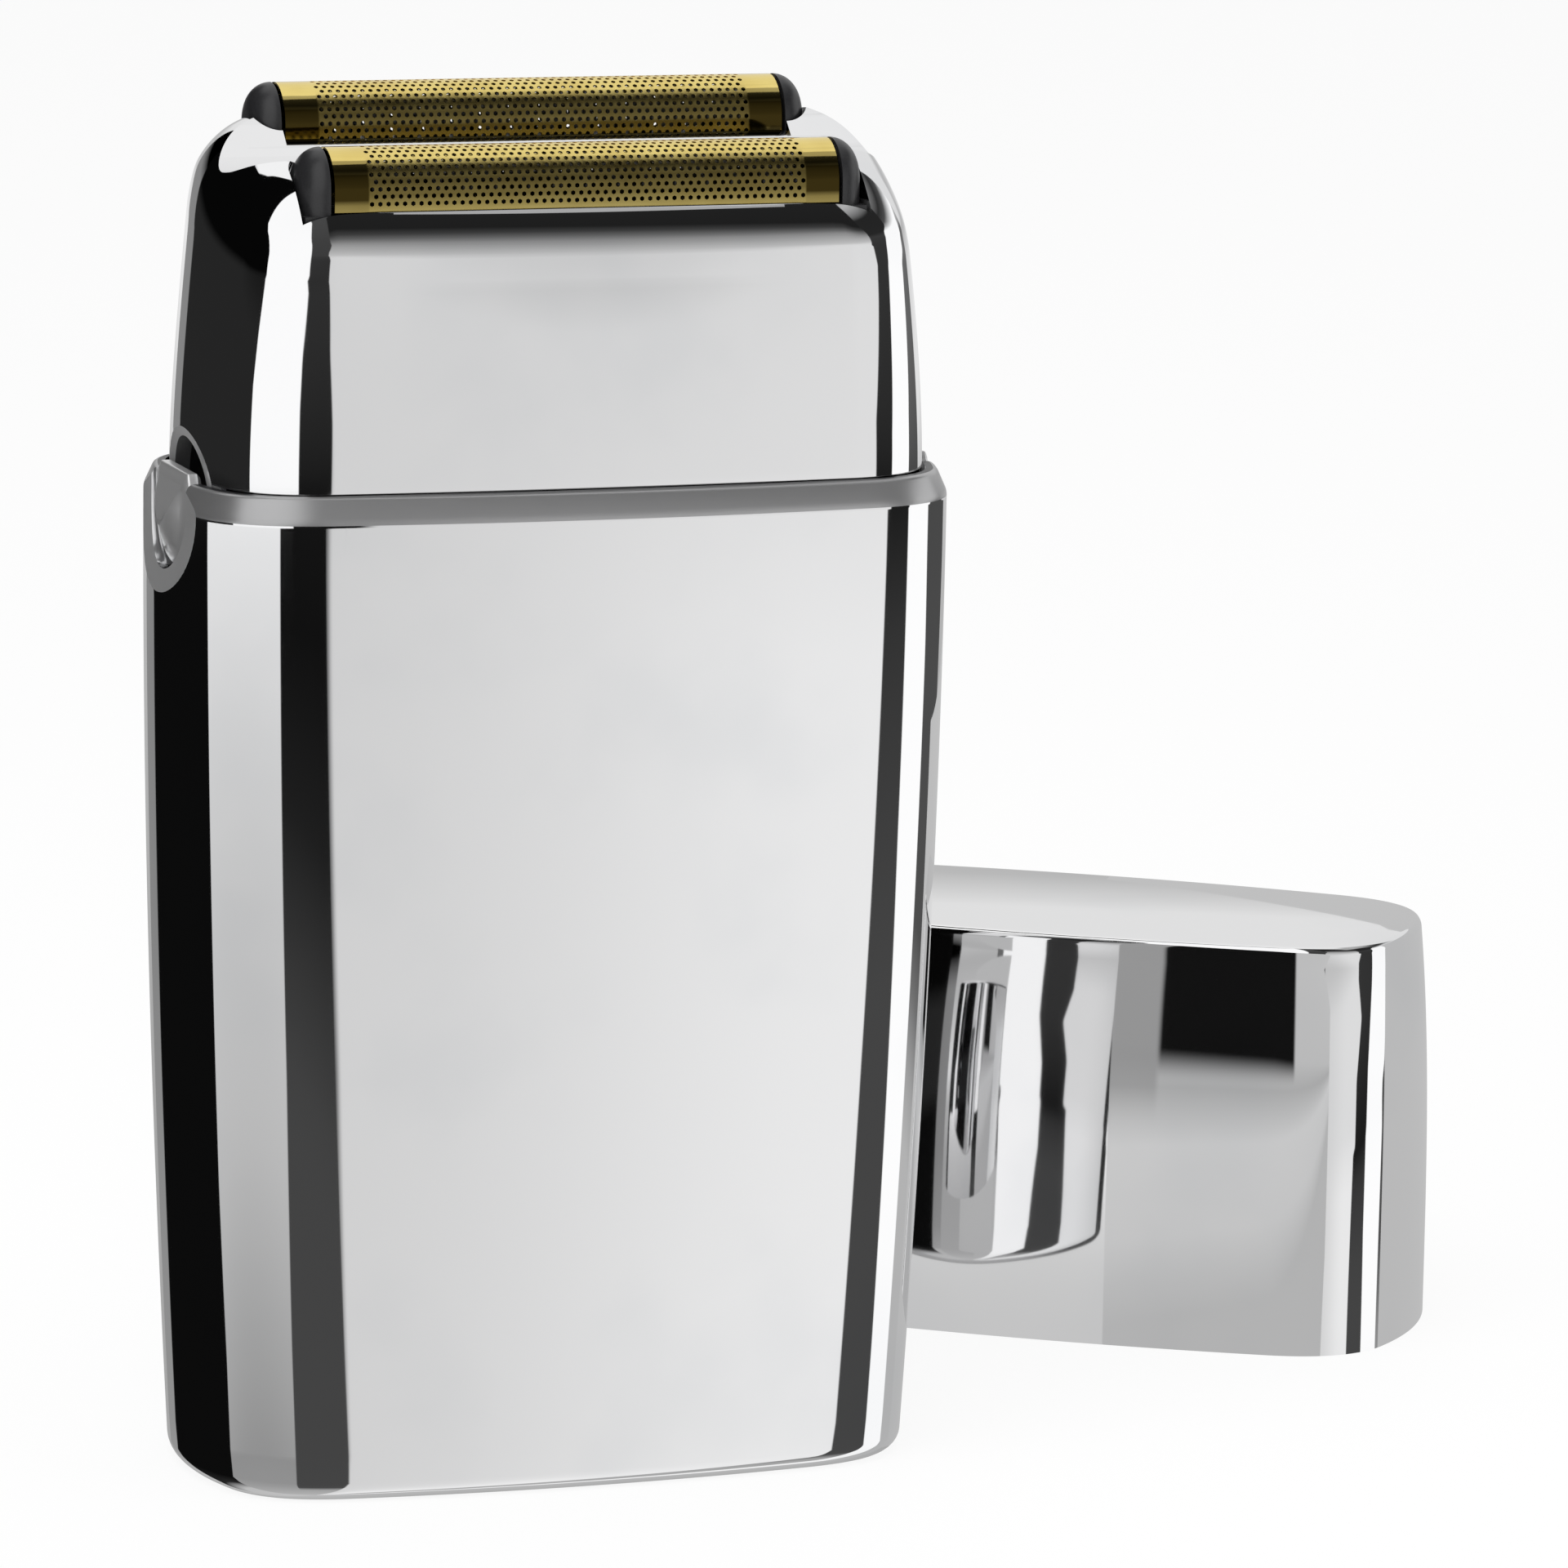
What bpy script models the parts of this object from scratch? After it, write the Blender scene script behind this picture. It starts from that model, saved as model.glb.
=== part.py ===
# Foil shaver: chromed body, lift-off head with two gold foils, and its cap standing beside it.
# Front faces -Y, up is +Z, the origin is the middle of the flat bottom. Sizes are in millimetres.

import math

import bmesh
import bpy
from mathutils import Matrix, Vector

MM = 0.001

# Fits
GAP = 0.3
JOIN = 0.4
REACH = 6.0
SETTLE_STEPS = 12

# Foils
FOIL_LENGTH = 40.4
FOIL_HALF = 3.2
FOIL_HEIGHT = 4.7
FOIL_SHEET = 0.35
FOIL_SPACING = 14.0
FOIL_STEP = 3.5
FOIL_COLUMNS = 11
FOIL_ROWS = 6
FOIL_END_BAND = 3.0
FOIL_EDGE_BAND = 1.0
HOLE_SHARE = 0.6

# Foil frames
FRAME_END = 2.0
FRAME_DEPTH = 4.7
FRAME_NOSE = 2.2

# Head
HEAD_RISE = 25.9
HEAD_WALL = 1.5
HEAD_PLUG = 3.8
HEAD_LIP = 0.5
HEAD_ROOF = 3.0
HEAD_CORNER = 6.3
HEAD_EASE = 6.4
HEAD_BULGE = 0.9
CROWN_CORNER = 4.6
CROWN_EASE = 4.8
CROWN_BULGE = 0.3
HEAD_CURVE = 1.7
HEAD_WIDTH_FLARE = 1.8
HEAD_DEPTH_FLARE = 1.65
HEAD_TILT = 0.21
CROWN_RADIUS = 1.2
CROWN_MARGIN = 4.8
CROWN_RUN = 4.5
CROWN_DROP = 5.3
CROWN_POWER = 1.5
SHOULDER_RUN = 3.4
SHOULDER_DROP = 7.5
CREST_SINK = 1.4
VALLEY_Y = -0.6
VALLEY_SINK = 2.5
CREST_HALF = 1.0
BRIDGE_SINK = 3.0

# Body
RIM_HEIGHT = 78.8
RIM_STEP = 2.0
RIM_CHAMFER = 1.8
RIM_LIP = 0.7
BODY_CORNER = 8.0
RIM_EASE = 6.4
BOTTOM_EASE = 9.1
RIM_BULGE = 1.28
BOTTOM_BULGE = 1.03
SIDE_BULGE = 1.2
EASE_START = 0.12
EASE_END = 0.60
CORNER_PARTS = 4
WIDTH_TAPER = 2.2
DEPTH_TAPER = 1.0
TAPER_POWER = 1.9
BOTTOM_EDGE = 1.6
BODY_WALL = 2.6
FLOOR = 2.4
FLOOR_FLANGE = 3.4

# Release buttons
BUTTON_RADIUS = 4.8
BUTTON_DROP = 2.1
BUTTON_CROWN = 0.6
BUTTON_ROUND = 1.5
BUTTON_DOME = 1.2
BUTTON_DISH = 0.4
BUTTON_SINK = 0.2
BUTTON_THICK = 2.3
BUTTON_STROKE = 1.0
STEM_RADIUS = 2.0
NOTCH_CHAMFER = 2.0
NOTCH_CHAMFER_DEPTH = 0.5
RING_CHAMFER = 0.6
RING_CHAMFER_DEPTH = 0.25

# Deck and chassis
DECK_THICK = 1.8
DECK_COLLAR = 1.5
COLLAR_DROP = 6.0
GUIDE_THICK = 1.2
CHASSIS_THICK = 1.6
POST_RADIUS = 2.4
POST_INSET = 3.2
SADDLE_THICK = 3.0
SADDLE_SHARE = 0.7

# Motor, cams and oscillators
MOTOR_LENGTH = 27.0
MOTOR_BEVEL = 1.0
SHAFT_RADIUS = 1.0
CAM_RADIUS = 2.0
CAM_THROW = 0.8
CAM_THICK = 1.8
YOKE_THICK = 2.0
OSC_HALF_LENGTH = 13.0
OSC_HALF = 2.2
OSC_HEIGHT = 6.2
PEDESTAL_RADIUS = 2.2
PIN_RADIUS = 0.9

# Cutters and their springs
CUTTER_GAP = 0.3
CUTTER_BASE_HALF = 1.7
CUTTER_BASE_TOP = 4.5
CUTTER_BASE_DEPTH = 3.0
CUTTER_FLOAT = 0.8
BLADE_COUNT = 15
BLADE_THICK = 0.8
SPRING_LENGTH = 5.0
SPRING_TURNS = 4
SPRING_RADIUS = 1.5
WIRE_RADIUS = 0.22

# Power supply
BATTERY_RADIUS = 9.0
BATTERY_LIFT = 11.5
BATTERY_TIP = 1.0
BATTERY_TIP_RADIUS = 3.6
BOARD_THICK = 1.2
BOARD_HALF = 9.0
BOARD_LENGTH = 34.0
SWITCH_THICK = 1.0
SWITCH_HALF = 3.0
SOCKET_RADIUS = 4.0
SOCKET_WALL = 1.0
SOCKET_DEPTH = 9.0
SOCKET_X = 11.0
SOCKET_RECESS = 0.4
PIN_OF_SOCKET = 0.8
SCREW_HEAD = 2.0
SCREW_HEAD_THICK = 1.1
SCREW_SHANK = 1.0
SCREW_INSET = 6.6

# Switch on the back
RECESS_HALF = 5.2
RECESS_LOW = 9.5
RECESS_HIGH = 66.0
RECESS_DEPTH = 1.2
BEZEL_HALF = 2.8
BEZEL_LOW = 16.0
BEZEL_HIGH = 60.0
BEZEL_PROUD = 0.25
THUMB_HALF = 2.2
THUMB_LENGTH = 11.0
THUMB_THICK = 1.0
THUMB_Z = 43.0
THUMB_TRAVEL = 5.0
THUMB_STEM = 0.8
THUMB_STEM_LENGTH = 4.0
LED_RADIUS = 1.1
LED_Z = 20.0

# Cap, standing apart
CAP_HEIGHT = 34.2
CAP_WALL = 1.4
CAP_WIDTH_DRAFT = 0.9
CAP_DEPTH_DRAFT = 2.4
CAP_DRAFT_POWER = 3.2
CAP_EDGE = 0.7
CAP_X = 57.9
CAP_Y = 36.8
CAP_TURN = -34.8

# Sizes that follow
FRAME_HALF_LENGTH = FOIL_LENGTH / 2 + GAP + FRAME_END
WINDOW_HALF = FRAME_HALF_LENGTH + GAP
OPENING_HALF = FOIL_LENGTH / 2 + GAP
SLOT_HALF = FOIL_HALF + GAP
FRONT_Y = -FOIL_SPACING / 2
REAR_Y = FOIL_SPACING / 2
FRONT_RIDGE = RIM_HEIGHT + HEAD_RISE
REAR_RIDGE = FRONT_RIDGE + FOIL_STEP
FRONT_SILL = FRONT_RIDGE - FOIL_HEIGHT
REAR_SILL = REAR_RIDGE - FOIL_HEIGHT
CROWN_Z = FRONT_SILL - CROWN_RADIUS
CREST_Z = FRONT_RIDGE - CREST_SINK
SHOULDER_FOOT = CREST_Z - SHOULDER_DROP
CROWN_HALF_DEPTH = FOIL_SPACING / 2 + SLOT_HALF + HEAD_LIP + CROWN_RADIUS
CROWN_HALF_WIDTH = WINDOW_HALF + CROWN_MARGIN
HEAD_HALF_DEPTH = CROWN_HALF_DEPTH + HEAD_DEPTH_FLARE
HEAD_HALF_WIDTH = CROWN_HALF_WIDTH + HEAD_WIDTH_FLARE
RIM_HALF_DEPTH = HEAD_HALF_DEPTH + RIM_STEP
RIM_HALF_WIDTH = HEAD_HALF_WIDTH + RIM_STEP
SHOULDER_Z = RIM_HEIGHT - RIM_CHAMFER
PLUG_Z = RIM_HEIGHT - HEAD_PLUG
DECK_TOP = PLUG_Z - GAP
DECK_LOW = DECK_TOP - DECK_THICK
LEDGE_Z = DECK_LOW - GAP
BUTTON_Z = RIM_HEIGHT - BUTTON_DROP
BUTTON_TOP = RIM_HEIGHT + BUTTON_CROWN
NOTCH_RADIUS = BUTTON_RADIUS + GAP
BUTTON_FACE = RIM_HALF_WIDTH - BUTTON_SINK
BUTTON_BACK = BUTTON_FACE - BUTTON_THICK
GUIDE_OUT = HEAD_HALF_WIDTH - HEAD_WALL - GAP
STEM_END = GUIDE_OUT - GUIDE_THICK
RECESS_Y = RIM_HALF_DEPTH - RECESS_DEPTH - GAP
BEZEL_Y = RECESS_Y + BEZEL_PROUD
WALL_Y = RIM_HALF_DEPTH - BODY_WALL
SWITCH_Y = WALL_Y - GAP
BOARD_Y = SWITCH_Y - SWITCH_THICK - GAP
MOTOR_RADIUS = BOARD_Y - BOARD_THICK - 2 * GAP
MOTOR_TOP = DECK_LOW - GAP
MOTOR_LOW = MOTOR_TOP - MOTOR_LENGTH
CHASSIS_LOW = FLOOR + GAP
CHASSIS_TOP = CHASSIS_LOW + CHASSIS_THICK
POST_X = RIM_HALF_WIDTH - WIDTH_TAPER - BODY_WALL - POST_INSET - POST_RADIUS
BATTERY_HALF = POST_X - POST_RADIUS - GAP
BATTERY_Z = BATTERY_LIFT + BATTERY_RADIUS
SADDLE_X = BATTERY_HALF * SADDLE_SHARE
YOKE_HALF_X = CAM_RADIUS + 2 * CAM_THROW + 2 * GAP
YOKE_HALF_Y = CAM_RADIUS + CAM_THROW + 2 * GAP
OSC_LOW = DECK_TOP + GAP
OSC_TOP = OSC_LOW + OSC_HEIGHT
LOW_YOKE_Z = OSC_LOW
HIGH_YOKE_Z = OSC_TOP - YOKE_THICK
BLADE_RADIUS = FOIL_HALF - FOIL_SHEET - CUTTER_GAP
CUTTER_HALF_LENGTH = FOIL_LENGTH / 2 - FOIL_END_BAND + GAP
COVER_SCREW_X = RIM_HALF_WIDTH - WIDTH_TAPER - FLOOR_FLANGE - SCREW_INSET


# Shape helpers

def between(low, high, steps):
    return [low + (high - low) * i / steps for i in range(steps + 1)]


def corner_curve(corner, ease, start, end):
    """Corner from the end of the long side to the end of the short one; its radius is larger by ease beside
    the long side."""
    turns = between(start, end, 6 * CORNER_PARTS)
    x = 0.0
    y = 0.0
    points = [(x, y)]
    for first, last in zip(turns, turns[1:]):
        turn = (first + last) / 2
        share = min(1.0, max(0.0, (turn - EASE_START) / (EASE_END - EASE_START)))
        radius = corner + ease * (1 - share * share * (3 - 2 * share))
        x += radius * math.cos(turn) * (last - first)
        y += radius * math.sin(turn) * (last - first)
        points.append((x, y))
    return points


def outline(half_x, half_y, corner, ease, bulge_y, bulge_x):
    """Rounded rectangle whose four sides bow outwards and run smoothly into its corners, as 48 points."""
    side_x = half_x - bulge_x
    side_y = half_y - bulge_y
    lean_x = 0.0
    lean_y = 0.0
    for _ in range(SETTLE_STEPS):
        curve = corner_curve(corner, ease, lean_y, math.pi / 2 - lean_x)
        end_x = side_x - curve[-1][0]
        end_y = side_y - curve[-1][1]
        lean_x = math.atan2(2 * bulge_x, end_y)
        lean_y = math.atan2(2 * bulge_y, end_x)
    quarter = []
    for step in range(2):
        share = step / 2
        quarter.append((half_x - bulge_x * share ** 2, end_y * share))
    quarter += [(end_x + x, side_y - y) for x, y in reversed(curve[::CORNER_PARTS])]
    for step in range(1, 4):
        share = 1 - step / 4
        quarter.append((end_x * share, half_y - bulge_y * share ** 2))
    points = list(quarter)
    points.append((0.0, half_y))
    points += [(-x, y) for x, y in reversed(quarter[1:])]
    points.append((-half_x, 0.0))
    points += [(-x, -y) for x, y in quarter[1:]]
    points.append((0.0, -half_y))
    points += [(x, -y) for x, y in reversed(quarter[1:])]
    return points


def level(points, z):
    return [(x, y, z) for x, y in points]


def raised(ring, z):
    return [(x, y, z) for x, y, _ in ring]


def circle(radius, count):
    return [(radius * math.cos(2 * math.pi * i / count), radius * math.sin(2 * math.pi * i / count))
            for i in range(count)]


def along_x(points, x):
    return [(x, y, z) for y, z in points]


def along_y(points, y):
    return [(x, y, z) for x, z in points]


def finish(name, colour, roughness, metallic):
    material = bpy.data.materials.new(name)
    material.use_nodes = True
    shader = material.node_tree.nodes["Principled BSDF"]
    shader.inputs["Base Color"].default_value = (*colour, 1.0)
    shader.inputs["Roughness"].default_value = roughness
    shader.inputs["Metallic"].default_value = metallic
    material.diffuse_color = (*colour, 1.0)
    return material


CHROME = ((0.82, 0.83, 0.84), 0.08, 1.0)
GOLD = ((0.83, 0.62, 0.20), 0.22, 1.0)
STEEL = ((0.60, 0.61, 0.63), 0.30, 1.0)
BLACK = ((0.02, 0.02, 0.022), 0.45, 0.0)
GREY_PLASTIC = ((0.16, 0.16, 0.17), 0.55, 0.0)
WHITE_PLASTIC = ((0.75, 0.75, 0.73), 0.45, 0.0)
GREEN = ((0.03, 0.18, 0.08), 0.50, 0.0)
BLUE = ((0.06, 0.16, 0.42), 0.40, 0.0)
BRASS = ((0.72, 0.55, 0.25), 0.30, 1.0)
LAMP = ((0.85, 0.90, 0.92), 0.15, 0.0)


def place(name, shape, look=None, smooth_angle=35.0):
    """Puts the finished shape in the scene, as a named piece or, with no look, as a cutter."""
    bmesh.ops.recalc_face_normals(shape, faces=shape.faces)
    bmesh.ops.scale(shape, vec=Vector((MM, MM, MM)), verts=shape.verts)
    mesh = bpy.data.meshes.new(name)
    shape.to_mesh(mesh)
    shape.free()
    mesh.polygons.foreach_set("use_smooth", [True] * len(mesh.polygons))
    mesh.set_sharp_from_angle(angle=math.radians(smooth_angle))
    thing = bpy.data.objects.new(name, mesh)
    bpy.context.scene.collection.objects.link(thing)
    if look is None:
        thing.hide_render = True
        thing.display_type = "WIRE"
    else:
        mesh.materials.append(finish(name + "_finish", *look))
    return thing


def add_loft(shape, rings):
    """Skins the rings one after another and closes both ends."""
    rows = [[shape.verts.new(point) for point in ring] for ring in rings]
    count = len(rows[0])
    for low, high in zip(rows, rows[1:]):
        for i in range(count):
            shape.faces.new((low[i], low[(i + 1) % count], high[(i + 1) % count], high[i]))
    shape.faces.new(list(reversed(rows[0])))
    shape.faces.new(rows[-1])


def loft(name, rings, look=None, smooth_angle=35.0):
    shape = bmesh.new()
    add_loft(shape, rings)
    return place(name, shape, look, smooth_angle)


def add_box(shape, low, high):
    corners = [(low[0], low[1]), (high[0], low[1]), (high[0], high[1]), (low[0], high[1])]
    add_loft(shape, [level(corners, low[2]), level(corners, high[2])])


def box(name, low, high, look=None):
    shape = bmesh.new()
    add_box(shape, low, high)
    return place(name, shape, look)


def add_rod(shape, x, y, low, high, radius, count=16):
    ring = [(x + px, y + py) for px, py in circle(radius, count)]
    add_loft(shape, [level(ring, low), level(ring, high)])


def rod(name, x, y, low, high, radius, look=None, count=16):
    shape = bmesh.new()
    add_rod(shape, x, y, low, high, radius, count)
    return place(name, shape, look)


def change(target, other, operation):
    modifier = target.modifiers.new(other.name, "BOOLEAN")
    modifier.operation = operation
    modifier.solver = "EXACT"
    modifier.object = other


def cut(target, *others):
    for other in others:
        change(target, other, "DIFFERENCE")


def join(target, *others):
    for other in others:
        change(target, other, "UNION")


# Outlines of the body, the head and the cap

def body_ring(z, inset):
    down = max(0.0, (SHOULDER_Z - z) / SHOULDER_Z)
    fall = down ** TAPER_POWER
    half_x = RIM_HALF_WIDTH - WIDTH_TAPER * fall - inset
    half_y = RIM_HALF_DEPTH - DEPTH_TAPER * fall - inset
    ease = RIM_EASE + (BOTTOM_EASE - RIM_EASE) * down
    bulge = RIM_BULGE + (BOTTOM_BULGE - RIM_BULGE) * down
    return level(outline(half_x, half_y, BODY_CORNER - inset, ease, bulge, SIDE_BULGE), z)


def head_ring(z, inset, roll_x=0.0, roll_y=0.0):
    rise = max(0.0, (z - RIM_HEIGHT) / (CROWN_Z - RIM_HEIGHT))
    lean = rise ** HEAD_CURVE
    half_x = HEAD_HALF_WIDTH - HEAD_WIDTH_FLARE * lean - inset - roll_x
    half_y = HEAD_HALF_DEPTH - HEAD_DEPTH_FLARE * lean - inset - roll_y
    high = min(1.0, rise)
    corner = HEAD_CORNER + (CROWN_CORNER - HEAD_CORNER) * high - inset
    ease = HEAD_EASE + (CROWN_EASE - HEAD_EASE) * high
    bulge = HEAD_BULGE + (CROWN_BULGE - HEAD_BULGE) * high
    return level(outline(half_x, half_y, corner, ease, bulge, SIDE_BULGE), z)


def cap_ring(z, inset):
    draft = (z / CAP_HEIGHT) ** CAP_DRAFT_POWER if z > 0 else 0.0
    half_x = RIM_HALF_WIDTH - CAP_WIDTH_DRAFT * draft - inset
    half_y = RIM_HALF_DEPTH - CAP_DEPTH_DRAFT * draft - inset
    return level(outline(half_x, half_y, BODY_CORNER - inset, RIM_EASE, RIM_BULGE, SIDE_BULGE), z)


def notch_profile(radius, opening_z):
    """Half circle round the button closed off by straight sides that run to the opening."""
    upward = opening_z > BUTTON_Z
    points = []
    for i in range(13):
        turn = math.pi * i / 12
        y = radius * math.cos(turn)
        z = -radius * math.sin(turn) if upward else radius * math.sin(turn)
        points.append((y, BUTTON_Z + z))
    points.append((-radius, opening_z))
    points.append((radius, opening_z))
    return points


def notch(name, side, surface, straight, chamfer, depth, opening_z):
    """Cutter for a notch in a bowed side whose chamfer keeps the same depth all round; straight is half the
    length of the side between its corners."""
    inner = notch_profile(NOTCH_RADIUS, opening_z)
    outer = notch_profile(NOTCH_RADIUS + 2 * chamfer, opening_z)

    def following(profile, out):
        return [(side * (out - SIDE_BULGE * (y / straight) ** 2), y, z) for y, z in profile]

    return loft(name, [along_x(inner, side * (surface - REACH)), following(inner, surface - depth),
                       following(outer, surface + depth), along_x(outer, side * (surface + REACH))])


def stadium(half, low, high, count=8):
    """Upright slot outline in the plane of the back, as (x, z) points."""
    points = []
    for i in range(count + 1):
        turn = math.pi * i / count
        points.append((half * math.cos(turn), high - half + half * math.sin(turn)))
    for i in range(count + 1):
        turn = math.pi + math.pi * i / count
        points.append((half * math.cos(turn), low + half + half * math.sin(turn)))
    return points


def back_slot(name, half, low, high, inner, outer, look=None):
    profile = stadium(half, low, high)
    return loft(name, [along_y(profile, inner), along_y(profile, outer)], look)


# Body

def build_housing():
    rings = [body_ring(0.0, BOTTOM_EDGE), body_ring(BOTTOM_EDGE * 0.3, BOTTOM_EDGE * 0.3),
             body_ring(BOTTOM_EDGE, 0.0)]
    rings += [body_ring(z, 0.0) for z in between(BOTTOM_EDGE, SHOULDER_Z, 6)[1:]]
    rings.append(body_ring(RIM_HEIGHT, RIM_STEP - GAP - RIM_LIP))
    shell = loft("housing_shell", rings, CHROME)
    hollow = loft("cut_hollow", [body_ring(z, BODY_WALL) for z in between(FLOOR, LEDGE_Z + JOIN, 4)])
    mouth = head_ring(LEDGE_Z, -GAP)
    socket = loft("cut_head_socket", [mouth, raised(mouth, RIM_HEIGHT + REACH)])
    opening = loft("cut_floor", [floor_ring(-REACH, 0.0), floor_ring(FLOOR + JOIN, 0.0)])
    cut(shell, hollow, socket, opening)
    cut(shell, back_slot("cut_recess", RECESS_HALF, RECESS_LOW, RECESS_HIGH, RECESS_Y, RECESS_Y + REACH))
    cut(shell, back_slot("cut_bezel", BEZEL_HALF + GAP, BEZEL_LOW - GAP, BEZEL_HIGH + GAP,
                         WALL_Y - REACH / 2, RECESS_Y + JOIN))
    for side, label in ((-1, "left"), (1, "right")):
        cut(shell, notch("cut_body_notch_" + label, side, RIM_HALF_WIDTH, RIM_HALF_DEPTH - BODY_CORNER,
                         NOTCH_CHAMFER, NOTCH_CHAMFER_DEPTH, RIM_HEIGHT + REACH))


def floor_ring(z, inset):
    inset = inset + FLOOR_FLANGE
    half_x = RIM_HALF_WIDTH - WIDTH_TAPER - inset
    half_y = RIM_HALF_DEPTH - DEPTH_TAPER - inset
    return level(outline(half_x, half_y, BODY_CORNER - inset, BOTTOM_EASE, BOTTOM_BULGE, SIDE_BULGE), z)


def build_bottom():
    cover = loft("bottom_cover", [floor_ring(0.0, GAP), floor_ring(FLOOR, GAP)], BLACK)
    cut(cover, rod("cut_cover_socket", SOCKET_X, 0, -REACH, REACH, SOCKET_RADIUS + GAP))
    for side, label in ((-1, "left"), (1, "right")):
        x = side * COVER_SCREW_X
        cut(cover, rod("cut_cover_shank_" + label, x, 0, -REACH, REACH, SCREW_SHANK + GAP))
        cut(cover, rod("cut_cover_head_" + label, x, 0, -REACH, FLOOR - CHASSIS_THICK / 2, SCREW_HEAD + GAP))
        seat = FLOOR - CHASSIS_THICK / 2 - GAP
        screw("bottom_screw_" + label, x, 0, seat, -1, CHASSIS_TOP - GAP - seat)
    socket = rod("charge_socket", SOCKET_X, 0, SOCKET_RECESS, SOCKET_RECESS + SOCKET_DEPTH, SOCKET_RADIUS,
                 BLACK)
    cut(socket, rod("cut_socket", SOCKET_X, 0, -REACH, SOCKET_RECESS + SOCKET_DEPTH - SOCKET_WALL,
                    SOCKET_RADIUS - SOCKET_WALL))
    rod("socket_pin", SOCKET_X, 0, SOCKET_RECESS + SOCKET_WALL,
        SOCKET_RECESS + SOCKET_DEPTH - SOCKET_WALL - GAP, PIN_OF_SOCKET, BRASS, 12)


def screw(name, x, y, seat, facing, shank_length):
    """Screw with a cross recess; facing is the way its head looks and its shank runs the other way."""
    head_out = seat + facing * SCREW_HEAD_THICK
    shank_end = seat - facing * shank_length
    shape = bmesh.new()
    head = [(x + px, y + py) for px, py in circle(SCREW_HEAD, 16)]
    face = [(x + px * 0.75, y + py * 0.75) for px, py in circle(SCREW_HEAD, 16)]
    neck = [(x + px, y + py) for px, py in circle(SCREW_SHANK, 16)]
    shoulder = head_out - facing * SCREW_HEAD_THICK * 0.4
    rings = [level(face, head_out), level(head, shoulder), level(head, seat), level(neck, seat),
             level(neck, shank_end)]
    add_loft(shape, rings)
    piece = place(name, shape, STEEL)
    half = SCREW_HEAD * 0.55
    arm = SCREW_HEAD * 0.12
    ends = sorted((head_out + facing, head_out - facing * SCREW_HEAD_THICK * 0.5))
    cut(piece, box("cut_a_" + name, (x - half, y - arm, ends[0]), (x + half, y + arm, ends[1])))
    cut(piece, box("cut_b_" + name, (x - arm, y - half, ends[0]), (x + arm, y + half, ends[1])))


def build_chassis():
    chassis = loft("chassis", [floor_ring(CHASSIS_LOW, -JOIN), floor_ring(CHASSIS_TOP, -JOIN)], GREY_PLASTIC)
    for side, label in ((-1, "left"), (1, "right")):
        x = side * SADDLE_X
        saddle = box("add_saddle_" + label, (x - SADDLE_THICK / 2, -BATTERY_RADIUS, CHASSIS_TOP - JOIN),
                     (x + SADDLE_THICK / 2, BATTERY_RADIUS, BATTERY_Z - BATTERY_RADIUS / 2))
        post = rod("add_post_" + label, side * POST_X, 0, CHASSIS_TOP - JOIN, DECK_LOW - GAP, POST_RADIUS)
        join(chassis, saddle, post)
        cut(chassis, rod("cut_post_" + label, side * POST_X, 0, DECK_LOW - REACH, DECK_LOW + REACH,
                         SCREW_SHANK + GAP))
        cut(chassis, rod("cut_chassis_screw_" + label, side * COVER_SCREW_X, 0, -REACH, CHASSIS_TOP + GAP,
                         SCREW_SHANK + GAP))
    bed = bmesh.new()
    ring = [(y, BATTERY_Z + z) for y, z in circle(BATTERY_RADIUS + GAP, 24)]
    add_loft(bed, [along_x(ring, -BATTERY_HALF), along_x(ring, BATTERY_HALF)])
    cut(chassis, place("cut_battery_bed", bed))
    cut(chassis, rod("cut_chassis_socket", SOCKET_X, 0, -REACH, BATTERY_LIFT, SOCKET_RADIUS + GAP))
    body = [(y, BATTERY_Z + z) for y, z in circle(BATTERY_RADIUS, 24)]
    tip = [(y, BATTERY_Z + z) for y, z in circle(BATTERY_TIP_RADIUS, 24)]
    end = BATTERY_HALF - GAP
    neck = end - BATTERY_TIP
    loft("battery", [along_x(body, -end), along_x(body, neck), along_x(tip, neck), along_x(tip, end)], BLUE)


def build_board():
    top = THUMB_Z + BOARD_LENGTH / 2
    box("circuit_board", (-BOARD_HALF, BOARD_Y - BOARD_THICK, top - BOARD_LENGTH),
        (BOARD_HALF, BOARD_Y, top), GREEN)
    reach = THUMB_LENGTH / 2
    box("switch_block", (-SWITCH_HALF, BOARD_Y + GAP, THUMB_Z - reach),
        (SWITCH_HALF, SWITCH_Y, THUMB_Z + reach + THUMB_TRAVEL), STEEL)


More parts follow.
